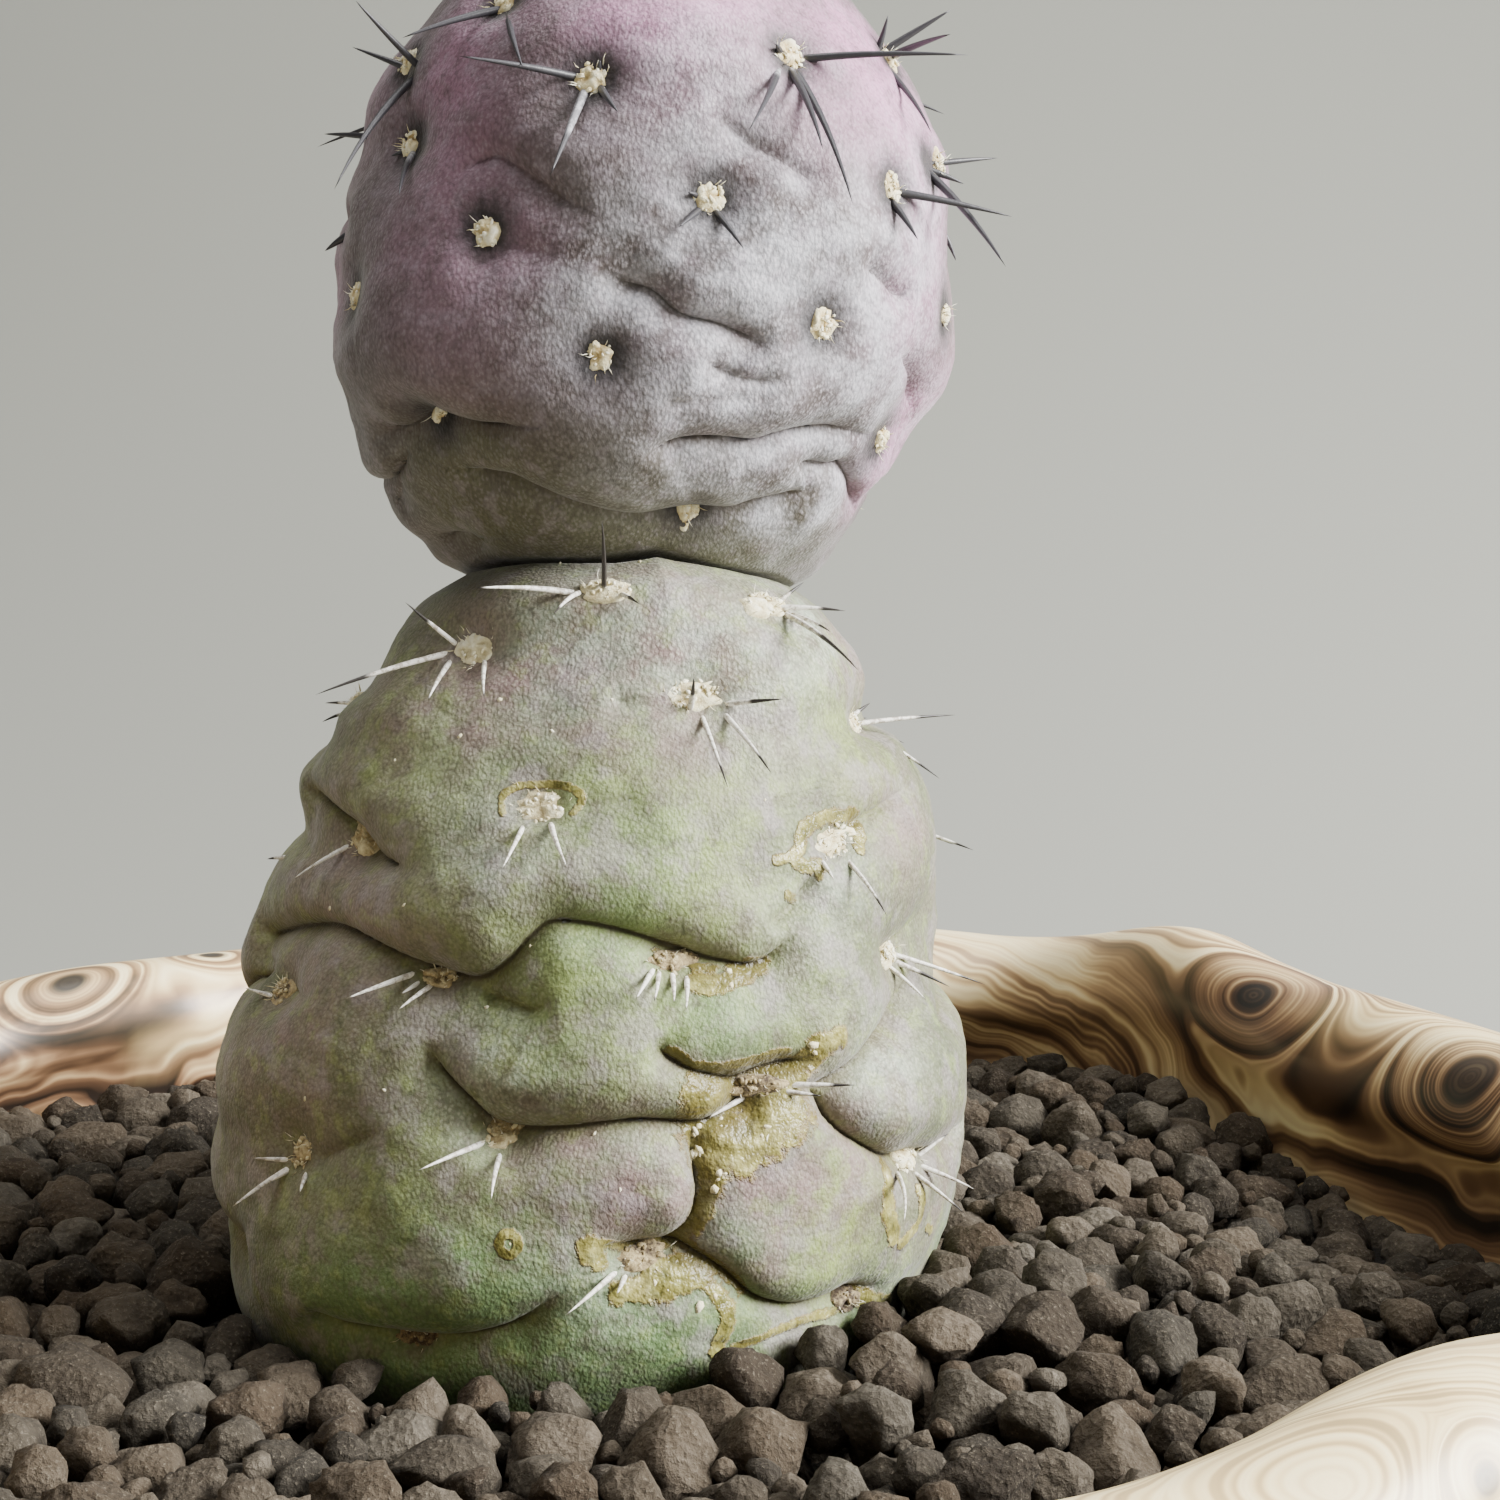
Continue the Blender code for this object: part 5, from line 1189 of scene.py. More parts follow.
def bowl_knots(points, across, steps):
    """Middle, lengthwise and crosswise directions, half sizes and section length of each knot."""
    places = places_on_bowl(points, [pixel for pixel, *_ in SEEN_KNOTS])
    knots = [(place, *shape) for place, (_, *shape) in zip(places, SEEN_KNOTS)]
    for angle, share, half_length, half_height, tilt in KNOTS_BEHIND:
        row = int(np.argmin(np.abs(steps - share * steps[-1])))
        column = int(round(angle / 360.0 * BOWL_COLUMNS)) % BOWL_COLUMNS
        knots.append((row * BOWL_COLUMNS + column, half_length, half_height, tilt, 1.0))
    described = []
    for place, half_length, half_height, tilt, dark in knots:
        row, column = divmod(place, BOWL_COLUMNS)
        beside = points[row * BOWL_COLUMNS + (column + 1) % BOWL_COLUMNS]
        above = points[min(row + 1, len(steps) - 1) * BOWL_COLUMNS + column]
        length_way = unit(beside - points[place])
        height_way = unit(above - points[place])
        turn = math.radians(tilt)
        turned = math.cos(turn) * length_way + math.sin(turn) * height_way
        height_way = math.cos(turn) * height_way - math.sin(turn) * length_way
        described.append((points[place], unit(turned), unit(height_way), half_length, half_height, dark,
                          across[place]))
    return described


# The soil

def around_bowl(x, y):
    """Distance from the middle of the bowl's waves, and the angle in degrees."""
    from_middle = np.array([x, y]) - BOWL_SHIFT[:2]
    return np.hypot(*from_middle), math.degrees(math.atan2(from_middle[1], from_middle[0]))


def has_room(x, y, radius):
    """Whether a grain there clears the wall and the plant."""
    distance, angle = around_bowl(x, y)
    wall = GRAIN_WALL + float(wave(angle, 1)) - radius
    return distance < wall and math.hypot(x - LEAN[1][1], y) > GRAIN_PLANT + 0.75 * radius


def rest_level(x, y, radius, near):
    """The level at which a grain there rests on its neighbours or on the bed."""
    if not len(near):
        return GRAIN_FLOOR + radius
    reach = (near[:, 3] + radius) ** 2 - (near[:, 0] - x) ** 2 - (near[:, 1] - y) ** 2
    levels = np.where(reach > 0.0, near[:, 2] + np.sqrt(np.maximum(reach, 0.0)), 0.0)
    return max(GRAIN_FLOOR + radius, float(levels.max()))


def soil_ceiling(x, y):
    """How high the soil reaches there."""
    distance, angle = around_bowl(x, y)
    swell = sum(lift * math.exp(-((angle - middle) / width) ** 2) for middle, width, lift in SOIL_SWELLS)
    mound_x, mound_y, width, lift = SOIL_MOUND
    mound = lift * math.exp(-((x - mound_x) ** 2 + (y - mound_y) ** 2) / width ** 2)
    return GRAIN_CEILING + mound + swell * smooth_step(38.0, 62.0, distance)


def settled_grains(sizes, seed, start=()):
    """Grains dropped one by one, each rolling downhill until the wall, the plant or grains hold it."""
    draw = random.Random(seed)
    placed = np.array(start, dtype=float).reshape(-1, 4)
    ways = [np.array([math.cos(a), math.sin(a)]) for a in np.arange(8) * math.pi / 4]
    for radius in sizes:
        angle = draw.uniform(0.0, 2 * math.pi)
        distance = math.sqrt(draw.uniform(GRAIN_DROP[0] ** 2, GRAIN_DROP[1] ** 2))
        x, y = distance * math.cos(angle), distance * math.sin(angle)
        if not has_room(x, y, radius):
            continue
        near = placed[(np.abs(placed[:, 0] - x) < GRAIN_REACH) & (np.abs(placed[:, 1] - y) < GRAIN_REACH)]
        level = rest_level(x, y, radius, near)
        for _ in range(ROLL_TURNS):
            moved = False
            for way in ways:
                for step in ROLL_STEPS:
                    nx, ny = x + way[0] * step, y + way[1] * step
                    if not has_room(nx, ny, radius):
                        continue
                    lower = rest_level(nx, ny, radius, near)
                    if lower < level - 1e-3:
                        x, y, level = nx, ny, lower
                        moved = True
                        break
            if not moved:
                break
        if level + 0.3 * radius < soil_ceiling(x, y):
            placed = np.vstack([placed, [x, y, level, radius]])
    return placed


def random_way(draw):
    return draw.gauss(0, 1), draw.gauss(0, 1), draw.gauss(0, 1)


def grain_shape(sphere, draw, seed):
    """One knobbly, blunt-cornered chunk of about a unit radius, and how hollow each point is."""
    stretch = np.array([draw.uniform(0.9, 1.4), draw.uniform(0.8, 1.05), draw.uniform(0.7, 0.98)])
    spread = sphere + 7.3 * seed
    coarse = 0.20 * rough(spread * 1.2, 71) + 0.15 * rough(spread * 2.3, 72)
    fine = 0.10 * rough(spread * 4.7, 73) + 0.06 * rough(spread * 9.0, 74)
    points = sphere * stretch * (1.0 + coarse)[:, None]
    for _ in range(draw.randint(5, 9)):
        cut = unit(np.array(random_way(draw)))
        over = points @ cut - draw.uniform(0.58, 0.88)
        points = points - np.maximum(over, 0.0)[:, None] * cut * 0.9
    return points * (1.0 + fine)[:, None], -(coarse + 1.6 * fine)


def grains(mat):
    """Loose grains: a near heap of the finest, then plainer ones in front of the middle and behind it."""
    draw = random.Random(41)
    sizes = [min(GRAIN_RADIUS * math.exp(draw.gauss(0.0, GRAIN_SPREAD)), GRAIN_LARGEST)
             for _ in range(GRAIN_COUNT)]
    placed = settled_grains(sizes, seed=42)
    small = [draw.uniform(*SMALL_RADII) for _ in range(SMALL_COUNT)]
    placed = settled_grains(small, seed=43, start=placed)
    balls = {level: ball(level) for level in (2, 3, 4)}
    heaps = {"near": Heap(), "middle": Heap(), "far": Heap()}
    x, y, distance = photo_pixels(placed[:, :3])
    for number, (px, py, pz, radius) in enumerate(placed):
        buried = pz + radius < GRAIN_CEILING - BURIED_DEPTH
        seen = SEEN_PIXELS[0] < x[number] < SEEN_PIXELS[1] and y[number] < SEEN_PIXELS[1] and not buried
        close = seen and distance[number] < NEAR_GRAINS and radius > FINE_RADIUS
        level = 4 if close else (3 if not buried and radius > MIDDLE_RADIUS else 2)
        sphere, faces = balls[level]
        shape, hollow = grain_shape(sphere, draw, number)
        spin = Vector(random_way(draw)).to_track_quat("Z", "Y").to_matrix()
        points = shape @ np.array(spin).T * radius * GRAIN_SWELL + np.array([px, py, pz])
        heap = heaps["near" if level == 4 else ("middle" if py < 0 else "far")]
        heap.add(points, faces, tone=draw.random(), warm=draw.random(), hollow=hollow)
    return [heap.piece("grains_" + name, mat) for name, heap in heaps.items()]


def soil_bed(mat):
    """The soil under the loose grains, down the wall to the floor, dark as painted shade for the gaps between
    them.
    """
    section = BED_SIDE + BED_TOP
    points, _ = turned_section(section, SOIL_COLUMNS)
    faces = ring_faces(len(section), SOIL_COLUMNS).tolist()
    ends = [BOWL_SHIFT + [0.0, 0.0, level] for level in (FLOOR_LEVEL + 0.5, GRAIN_FLOOR - 1.0)]
    points = np.vstack([points] + ends)
    close_ends(faces, len(section), SOIL_COLUMNS, len(points) - 2, len(points) - 1)
    return piece("soil_bed", points, faces, mat,
                 {field: np.zeros(len(points)) for field in ("tone", "warm", "hollow")})


# Materials

def rgb(red, green, blue):
    """A colour from screen values of 0 to 255, as linear light."""
    linear = []
    for value in (red, green, blue):
        v = value / 255.0
        linear.append(v / 12.92 if v <= 0.04045 else ((v + 0.055) / 1.055) ** 2.4)
    return (*linear, 1.0)


def grey(value):
    return (value, value, value, 1)


def socket_name(word):
    return word.replace("_", " ").title().replace("Ior", "IOR")


class Finish:
    """A node material, built with short calls."""

    def __init__(self, name):
        self.mat = bpy.data.materials.new(name)
        self.mat.use_nodes = True
        self.tree = self.mat.node_tree
        self.shader = self.tree.nodes["Principled BSDF"]
        self.place = self.tree.nodes.new("ShaderNodeTexCoord").outputs["Object"]

    def set(self, socket, value):
        if isinstance(value, bpy.types.NodeSocket):
            self.tree.links.new(value, socket)
        else:
            socket.default_value = value

    def node(self, kind, **inputs):
        """A new node, with the inputs that are named set or linked."""
        node = self.tree.nodes.new("ShaderNode" + kind)
        for word, value in inputs.items():
            self.set(node.inputs[socket_name(word)], value)
        return node

    def field(self, name):
        node = self.node("Attribute")
        node.attribute_name = name
        return node.outputs["Fac"]

    def maths(self, operation, *values):
        node = self.node("Math")
        node.operation = operation
        for socket, value in zip(node.inputs, values):
            self.set(socket, value)
        return node.outputs[0]

    def plus(self, a, b):
        return self.maths("ADD", a, b)

    def minus(self, a, b):
        return self.maths("SUBTRACT", a, b)

    def times(self, a, b):
        return self.maths("MULTIPLY", a, b)

    def greater(self, a, b):
        return b if a is None else self.maths("MAXIMUM", a, b)

    def vector(self, operation, a, b, result=0):
        node = self.node("VectorMath")
        node.operation = operation
        self.set(node.inputs[0], a)
        self.set(node.inputs[1], b)
        return node.outputs[result]

    def noise(self, size, detail=2.0, roughness=0.5, stretch=(1, 1, 1)):
        """Cloudy noise with one swell to each size in millimetres."""
        node = self.node("TexNoise", vector=self.vector("MULTIPLY", self.place, stretch),
                         scale=1.0 / (size * MM), detail=detail, roughness=roughness)
        return node.outputs["Fac"]

    def cells(self, size, stretch=(1, 1, 1)):
        """Distance from the middles of scattered cells of a size in millimetres."""
        node = self.node("TexVoronoi", vector=self.vector("MULTIPLY", self.place, stretch),
                         scale=1.0 / (size * MM))
        return node.outputs["Distance"]

    def stripes(self, phase, detail, roughness=0.5):
        """Uneven stripes along a phase, one to the unit."""
        node = self.node("TexNoise", scale=1.0, detail=detail, roughness=roughness)
        node.noise_dimensions = "1D"
        self.set(node.inputs["W"], phase)
        return node.outputs["Fac"]

    def between(self, value, low, high, to_low=0.0, to_high=1.0):
        """A smooth change from to_low to to_high as the value goes from low to high."""
        node = self.node("MapRange", value=value, from_min=low, from_max=high, to_min=to_low, to_max=to_high)
        node.interpolation_type = "SMOOTHSTEP"
        return node.outputs["Result"]

    def ramp(self, value, *stops):
        """Colours along a value: place, red, green and blue of each stop."""
        node = self.node("ValToRGB", fac=value)
        ramp = node.color_ramp
        while len(ramp.elements) < len(stops):
            ramp.elements.new(0.5)
        for element, (position, *colour) in zip(ramp.elements, stops):
            element.position = position
            element.color = rgb(*colour)
        return node.outputs["Color"]

    def mix(self, factor, a, b):
        node = self.node("Mix")
        node.data_type = "RGBA"
        node.clamp_factor = True
        self.set(node.inputs["Factor"], factor)
        self.set(node.inputs[6], a)
        self.set(node.inputs[7], b)
        return node.outputs[2]

    def over(self, colour, tone, value, low, high, most):
        """A colour that turns to a tone, by up to most, as the value goes from low to high."""
        return self.mix(self.between(value, low, high, 0.0, most), colour, rgb(*tone))

    def tint(self, colour, field, tone, strength, blotch, low=0.3, high=0.65, least=0.0):
        """A tint where its field says, broken up by blotches."""
        share = self.times(self.field(field), self.between(blotch, low, high, least, 1.0))
        return self.mix(self.times(share, strength), colour, rgb(*tone))

    def bump(self, height, distance, strength, normal=None):
        node = self.node("Bump", strength=strength, distance=distance * MM, height=height)
        if normal is not None:
            self.set(node.inputs["Normal"], normal)
        return node.outputs["Normal"]

    def finish(self, colour, roughness, normal=None, **constants):
        inputs = {"base_color": colour, "roughness": roughness, **constants}
        if normal is not None:
            inputs["normal"] = normal
        for word, value in inputs.items():
            self.set(self.shader.inputs[socket_name(word)], value)
        return self.mat


def nap(made, colour, pale, dark, drawn):
    """The skin's fine mottling: small pale dots, drawn out upwards and thicker where the bloom is, which is
    partly a painted highlight.
    """
    stretch = (1.0, 1.0, drawn)
    dots = made.minus(0.75, made.cells(0.25, stretch))
    cloud = made.noise(0.19, 2.0, 0.6, stretch)
    fleck = made.plus(made.times(dots, 0.45), made.times(cloud, 0.7))
    mottle = made.noise(0.9, 3.0, 0.6)
    bloom_and_highlight = made.plus(0.34, made.times(made.field("bloom_and_highlight"), 0.8))
    light = made.times(made.between(fleck, 0.44, 0.64), made.between(mottle, 0.34, 0.66, 0.3, 1.0))
    shade = made.times(made.between(fleck, 0.48, 0.30), made.between(mottle, 0.62, 0.36, 0.3, 1.0))
    colour = made.mix(made.times(shade, 0.42), colour, rgb(*dark))
    # The pale dots grow with the bloom field, so on the lit side they are partly painted glints.
    return made.mix(made.times(made.times(light, bloom_and_highlight), 0.42), colour, rgb(*pale)), fleck


def lower_skin():
    """Grey-green skin with yellow, green and purple patches, bloomy patches that are partly a painted
    highlight, cork scabs, and painted shade in the creases.
    """
    made = Finish("lower_skin_finish")
    large = made.noise(9.0, 3.0, 0.55)
    blotch = made.noise(2.6, 4.0, 0.6)
    colour = made.ramp(large, (0.32, 92, 100, 71), (0.5, 109, 113, 86), (0.68, 127, 121, 103))
    colour = made.tint(colour, "yellow", (152, 168, 86), 0.8, blotch)
    colour = made.tint(colour, "green", (106, 140, 86), 0.78, blotch, 0.2, 0.6, 0.5)
    colour = made.tint(colour, "purple", (140, 118, 116), 0.95, blotch, 0.75, 0.35)
    # Pale bloom, partly a painted highlight on the lit side.
    colour = made.tint(colour, "bloom_and_highlight", (172, 184, 168), 0.7, blotch)
    patch = made.noise(1.5, 3.0, 0.6)
    colour = made.over(colour, (148, 164, 98), patch, 0.53, 0.66, 0.36)
    colour = made.over(colour, (112, 100, 96), patch, 0.47, 0.34, 0.42)
    lilac = made.noise(3.4, 4.0, 0.62)
    colour = made.over(colour, (150, 140, 144), lilac, 0.50, 0.64, 0.48)
    colour, fleck = nap(made, colour, (206, 206, 186), (62, 64, 48), 0.8)
    ragged = made.noise(0.8, 4.0, 0.65)
    edge = made.plus(made.field("cork"), made.times(made.minus(ragged, 0.5), 1.5))
    cork = made.between(edge, 0.0, 0.34)
    lumps = made.noise(1.2, 3.0, 0.62)
    fold = made.field("fold")
    scab = made.ramp(lumps, (0.34, 92, 88, 38), (0.44, 122, 116, 58), (0.54, 148, 142, 78),
                     (0.63, 174, 168, 106), (0.70, 216, 208, 152), (0.76, 250, 244, 212))
    # Near a crease the scab turns darker olive: painted shade.
    scab = made.over(scab, (92, 78, 26), fold, 0.04, 0.4, 0.75)
    scab = made.over(scab, (146, 108, 62), edge, 0.40, 0.14, 0.55)
    colour = made.mix(made.times(cork, made.between(ragged, 0.3, 0.6, 0.7, 0.95)), colour, scab)
    # Towards a crease the skin darkens to olive, then nearly black along its line: painted shade.
    colour = made.over(colour, (96, 94, 46), fold, 0.15, 0.75, 0.4)
    colour = made.over(colour, (46, 38, 18), fold, 0.66, 0.93, 0.85)
    colour = made.over(colour, (92, 80, 56), made.field("halo"), 0.35, 1.0, 0.35)
    normal = made.bump(fleck, 0.095, 0.9)
    normal = made.bump(made.times(cork, lumps), 0.3, 0.8, normal)
    normal = made.bump(made.noise(1.5, 3.0, 0.5, (1.0, 1.0, 1.8)), 0.16, 0.6, normal)
    roughness = made.mix(cork, grey(0.56), grey(0.28))
    return made.finish(colour, roughness, normal, sheen_weight=0.2, sheen_roughness=0.4, ior=1.4)


def upper_skin():
    """Purple-grey skin with pink and olive patches, bloomy patches that are partly a painted highlight, dark
    rings round the areoles, and painted shade in the creases.
    """
    made = Finish("upper_skin_finish")
    large = made.noise(10.0, 3.0, 0.55)
    blotch = made.noise(2.8, 4.0, 0.6)
    colour = made.ramp(large, (0.32, 80, 73, 70), (0.5, 95, 87, 87), (0.68, 108, 98, 102))
    colour = made.tint(colour, "pink", (200, 138, 178), 0.8, blotch, 0.2, 0.6, 0.5)
    colour = made.tint(colour, "olive", (92, 93, 66), 0.85, blotch, 0.2, 0.6, 0.5)
    # Pale bloom, partly a painted highlight on the lit side.
    colour = made.tint(colour, "bloom_and_highlight", (188, 189, 198), 0.7, blotch)
    patch = made.noise(1.7, 3.0, 0.6)
    colour = made.over(colour, (150, 138, 150), patch, 0.53, 0.66, 0.3)
    colour = made.over(colour, (74, 68, 62), patch, 0.47, 0.34, 0.3)
    colour, fleck = nap(made, colour, (208, 201, 209), (58, 51, 50), 0.7)
    fold = made.field("fold")
    # Towards a crease the skin darkens, nearly black along its line: painted shade.
    colour = made.over(colour, (84, 72, 62), fold, 0.2, 0.8, 0.35)
    colour = made.over(colour, (44, 36, 30), fold, 0.72, 0.95, 0.75)
    stray = made.times(made.minus(made.noise(0.5, 3.0, 0.6), 0.5), 0.5)
    halo = made.plus(made.field("halo"), stray)
    colour = made.over(colour, (68, 63, 66), halo, 0.10, 0.75, 0.7)
    colour = made.over(colour, (36, 34, 36), halo, 0.50, 0.90, 0.85)
    normal = made.bump(fleck, 0.08, 0.9)
    normal = made.bump(made.noise(1.7, 3.0, 0.5, (1.0, 1.0, 1.8)), 0.16, 0.6, normal)
    return made.finish(colour, 0.56, normal, sheen_weight=0.2, sheen_roughness=0.4, ior=1.4)


def wool(name, pale, deep, bright):
    """Matt wool and bristles, with painted shade between the crumbs."""
    made = Finish(name)
    lumps = made.noise(0.4, 4.0, 0.7)
    # The shade field is darker in the cushion's dips and between crumbs, as painted shade, and varies at
    # random on crumbs and bristles.
    shade = made.plus(made.times(made.field("shade"), 0.7), made.times(lumps, 0.5))
    colour = made.ramp(shade, (0.28, 70, 56, 40), (0.42, *deep), (0.66, *pale), (0.9, *bright))
    normal = made.bump(made.noise(0.15, 3.0, 0.7), 0.08, 1.0)
    return made.finish(colour, 0.85, normal, sheen_weight=0.2)


def horn(name, pale, streak, dark, darkening):
    """Spines: pale or dark horn, with darker tips by each spine's own measure."""
    made = Finish(name)
    start = made.minus(1.05, made.times(made.field("dark"), darkening))
    tip = made.between(made.minus(made.field("along"), start), -0.03, 0.06)
    fibre = made.noise(0.35, 3.0, 0.6)
    body = made.mix(made.between(fibre, 0.46, 0.64), rgb(*pale), rgb(*streak))
    colour = made.mix(tip, body, rgb(*dark))
    return made.finish(colour, 0.42, made.bump(fibre, 0.05, 0.5))


def gravel(name, darker):
    """Hard baked clay grains: matt, pitted, each its own tone, flecked with dust, and darker in their hollows
    as painted shade.
    """
    made = Finish(name)
    dust = made.noise(1.4, 5.0, 0.65)
    value = made.plus(made.times(made.field("tone"), 0.5), made.times(dust, 0.7))
    colour = made.ramp(value, (0.25, 33, 30, 26), (0.5, 55, 51, 44), (0.7, 73, 68, 59), (0.92, 100, 94, 84))
    colour = made.mix(made.times(made.field("warm"), 0.3), colour, rgb(96, 76, 54))
    fine = made.noise(0.26, 4.0, 0.7)
    colour = made.over(colour, (150, 141, 125), fine, 0.54, 0.72, 0.4)
    colour = made.over(colour, (36, 30, 24), fine, 0.44, 0.28, 0.5)
    # Darker in each grain's hollows: painted shade.
    colour = made.over(colour, (34, 28, 22), made.field("hollow"), 0.02, 0.30, 0.55)
    # The bed under the grains is darkened: painted shade in the gaps between them.
    if darker:
        colour = made.mix(0.7, colour, rgb(20, 16, 12))
    height = made.plus(made.times(made.cells(0.5), 0.8), fine)
    return made.finish(colour, 0.95, made.bump(height, 0.34, 1.0), ior=1.35)


def wood_glaze(knots):
    """Glossy glaze with a wood grain that parts round its knots as a stream does round stones."""
    made = Finish("wood_glaze")
    bend = made.noise(52.0, 1.0, 0.4)
    ripple = made.noise(11.0, 2.0, 0.5)
    phase = made.plus(made.field("across"), made.field("drift"))
    phase = made.plus(phase, made.times(made.minus(bend, 0.5), 9.0))
    phase = made.plus(phase, made.times(made.minus(ripple, 0.5), 1.3))
    eye = None
    heart = None
    for middle, length_way, height_way, half_length, half_height, dark, across in knots:
        offset = made.vector("SUBTRACT", made.place, tuple(middle * MM))
        square = None
        for way, half in ((length_way, half_length), (height_way, half_height),
                          (np.cross(length_way, height_way), KNOT_DEPTH)):
            part = made.vector("DOT_PRODUCT", offset, tuple(way / (half * MM)), result=1)
            part = made.times(part, part)
            square = part if square is None else made.plus(square, part)
        square = made.times(square, made.between(ripple, 0.25, 0.75, 0.8, 1.2))
        reach = made.maths("SQRT", square)
        weight = made.maths("DIVIDE", 1.0, made.greater(square, 1.0))
        phase = made.minus(phase, made.times(made.minus(phase, float(across)), weight))
        inside = made.greater(made.minus(1.0, reach), 0.0)
        phase = made.plus(phase, made.times(inside, 1.5 * half_height))
        eye = made.greater(eye, made.between(reach, 0.38, 0.18, 0.0, dark))
        heart = made.greater(heart, made.times(inside, dark))
    broad = made.stripes(made.times(phase, 0.17), 1.5)
    fine = made.stripes(made.times(phase, 0.9), 2.0, 0.55)
    value = made.plus(made.times(broad, 0.46), made.times(fine, 0.54))
    # Darker along the dark sweeps: grain, and painted shade on the right and back of the inner wall.
    value = made.minus(value, made.times(made.field("dark_grain_and_shade"), 0.13))
    # Lighter along the pale sweeps: paler glaze, and painted highlight on the lip's top.
    value = made.plus(value, made.times(made.field("pale"), 0.065))
    value = made.minus(value, made.times(heart, 0.10))
    colour = made.ramp(value, (0.25, 34, 25, 19), (0.34, 82, 60, 44), (0.41, 130, 100, 74),
                       (0.47, 178, 146, 108), (0.53, 226, 200, 150), (0.60, 252, 236, 190),
                       (0.69, 214, 184, 138), (0.78, 250, 232, 186))
    # Cream along the pale sweeps, partly painted highlight.
    colour = made.mix(made.times(made.field("pale"), 0.3), colour, rgb(255, 234, 168))
    colour = made.mix(made.times(eye, 0.96), colour, rgb(38, 36, 34))
    foot = made.between(made.field("across"), FOOT_BARE - 1.0, FOOT_BARE + 1.0)
    clay = made.ramp(made.noise(1.2, 5.0, 0.7), (0.3, 120, 84, 58), (0.7, 158, 118, 86))
    colour = made.mix(foot, clay, colour)
    roughness = made.mix(foot, grey(0.9), grey(0.38))
    return made.finish(colour, roughness, made.bump(fine, 0.05, 0.3), coat_weight=0.15, coat_roughness=0.2,
                       ior=1.5)


# Stage

def stage():
    """A pale floor that sweeps up into a plain backdrop."""
    paper = Finish("stage_paper").finish(rgb(*PAPER), 0.9)
    profile = [(SWEEP_FRONT, 0.0)]
    for a in np.linspace(0, math.pi / 2, 24):
        profile.append((SWEEP_START + SWEEP_RADIUS * math.sin(a), SWEEP_RADIUS - SWEEP_RADIUS * math.cos(a)))
    profile.append((SWEEP_START + SWEEP_RADIUS, SWEEP_TOP))
    points = [(x, y, z) for y, z in profile for x in (-SWEEP_HALF_WIDTH, SWEEP_HALF_WIDTH)]
    faces = [(2 * i, 2 * i + 1, 2 * i + 3, 2 * i + 2) for i in range(len(profile) - 1)]
    made = piece("stage_sweep", np.array(points) / MM, faces, paper)


def area_light(name, place, aim, size, power, colour):
    light = bpy.data.lights.new(name, "AREA")
    light.shape = "DISK"
    light.size = size
    light.energy = power
    light.color = colour
    made = bpy.data.objects.new(name, light)
    made.location = place
    made.rotation_euler = (Vector(aim) - Vector(place)).to_track_quat("-Z", "Y").to_euler()
    bpy.context.scene.collection.objects.link(made)


def camera():
    data = bpy.data.cameras.new("photo_camera")
    data.sensor_width = SENSOR
    data.lens = FOCAL_PIXELS * SENSOR / (2 * PHOTO_CENTRE)
    data.clip_start = 0.01
    made = bpy.data.objects.new("photo_camera", data)
    made.location = CAMERA * MM
    made.rotation_euler = (math.pi / 2 - CAMERA_PITCH, 0.0, 0.0)
    bpy.context.scene.collection.objects.link(made)
    bpy.context.scene.camera = made


def lighting():
    for light in LIGHTS:
        area_light(*light)
    world = bpy.data.worlds.new("studio")
    world.use_nodes = True
    world.node_tree.nodes["Background"].inputs["Color"].default_value = SKY
    world.node_tree.nodes["Background"].inputs["Strength"].default_value = SKY_STRENGTH
    bpy.context.scene.world = world


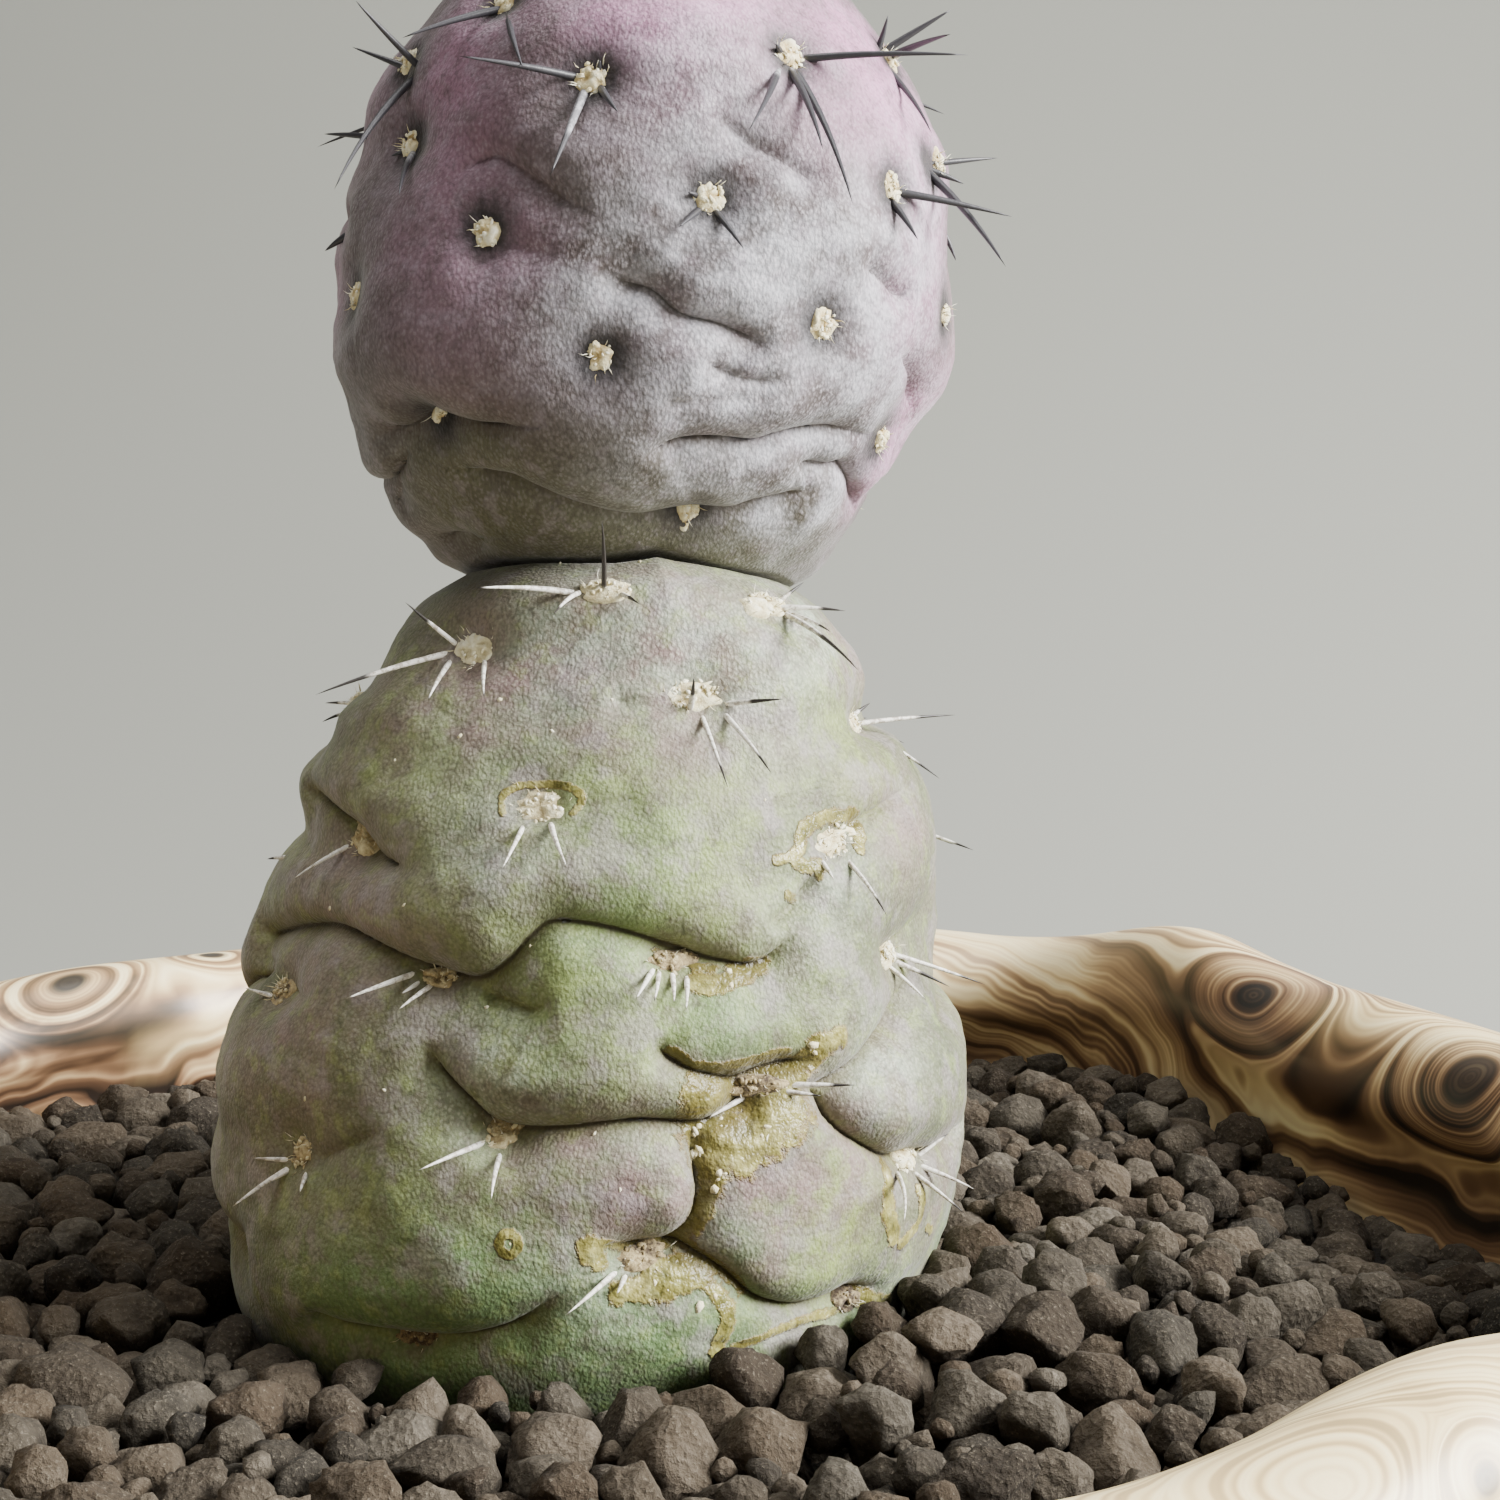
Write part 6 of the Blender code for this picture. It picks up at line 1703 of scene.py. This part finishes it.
def main():
    camera()
    lighting()
    stage()

    lower = stem_joint(LOWER_OUTLINE, LOWER_RELIEF, LOWER_SWELLS, LOWER_AREOLES, LOWER_ROWS_BEHIND,
                       LOWER_FOLDS, LOWER_FOLDS_BEHIND, BEHIND_CUSHION["lower"], 11)
    upper = stem_joint(UPPER_OUTLINE, UPPER_RELIEF, UPPER_SWELLS, UPPER_AREOLES, UPPER_ROWS_BEHIND,
                       UPPER_FOLDS, UPPER_FOLDS_BEHIND, BEHIND_CUSHION["upper"], 12)
    lower_piece = stem_skin("lower_joint", lower, LOWER_RINGS, LOWER_COLUMNS, lower_skin(),
                            {"yellow": LOWER_YELLOW, "purple": LOWER_PURPLE, "green": LOWER_GREEN,
                             "bloom_and_highlight": LOWER_BLOOM_AND_HIGHLIGHT}, CORK)
    upper_piece = stem_skin("upper_joint", upper, UPPER_RINGS, UPPER_COLUMNS, upper_skin(),
                            {"pink": UPPER_PINK, "olive": UPPER_OLIVE, "bloom_and_highlight": UPPER_BLOOM_AND_HIGHLIGHT})
    pale_wool = wool("lower_wool_finish", (236, 227, 184), (172, 154, 112), (254, 250, 228))
    gold_wool = wool("upper_wool_finish", (242, 230, 186), (190, 162, 106), (254, 250, 230))
    pale_horn = horn("lower_spine_finish", (240, 238, 230), (176, 168, 156), (46, 42, 40), 0.55)
    dark_horn = horn("upper_spine_finish", (122, 121, 126), (168, 168, 174), (58, 57, 62), 1.2)
    specks = [(pixel, 0, 1) for pixel in WHITE_SPECKS] + CORK_CRUMBS
    lower_dress = dress(lower, "lower", LOWER_SPINES, LOWER_HABIT, specks, pale_wool, pale_horn, 31)
    upper_dress = dress(upper, "upper", UPPER_SPINES, UPPER_HABIT, [], gold_wool, dark_horn, 32)
    bowl_piece, bowl_points, across, steps = bowl(None)
    bowl_piece.data.materials[0] = wood_glaze(bowl_knots(bowl_points, across, steps))
    grain_pieces = grains(gravel("grain_finish", darker=False))
    bed = soil_bed(gravel("bed_finish", darker=True))

    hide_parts("lower_segment")
    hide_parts("upper_segment")
    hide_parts("pot")
    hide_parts("soil")
    slots = [(lower_piece, "lower_skin"), (upper_piece, "upper_skin"), (bowl_piece, "glaze"), (bed, "gravel")]
    slots += [(made, "gravel") for made in grain_pieces]
    slots += [(lower_dress[0], "wool"), (upper_dress[0], "wool"), (lower_dress[1], "spines"),
              (upper_dress[1], "spines")]
    for made, slot in slots:
        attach(made, "root")


main()
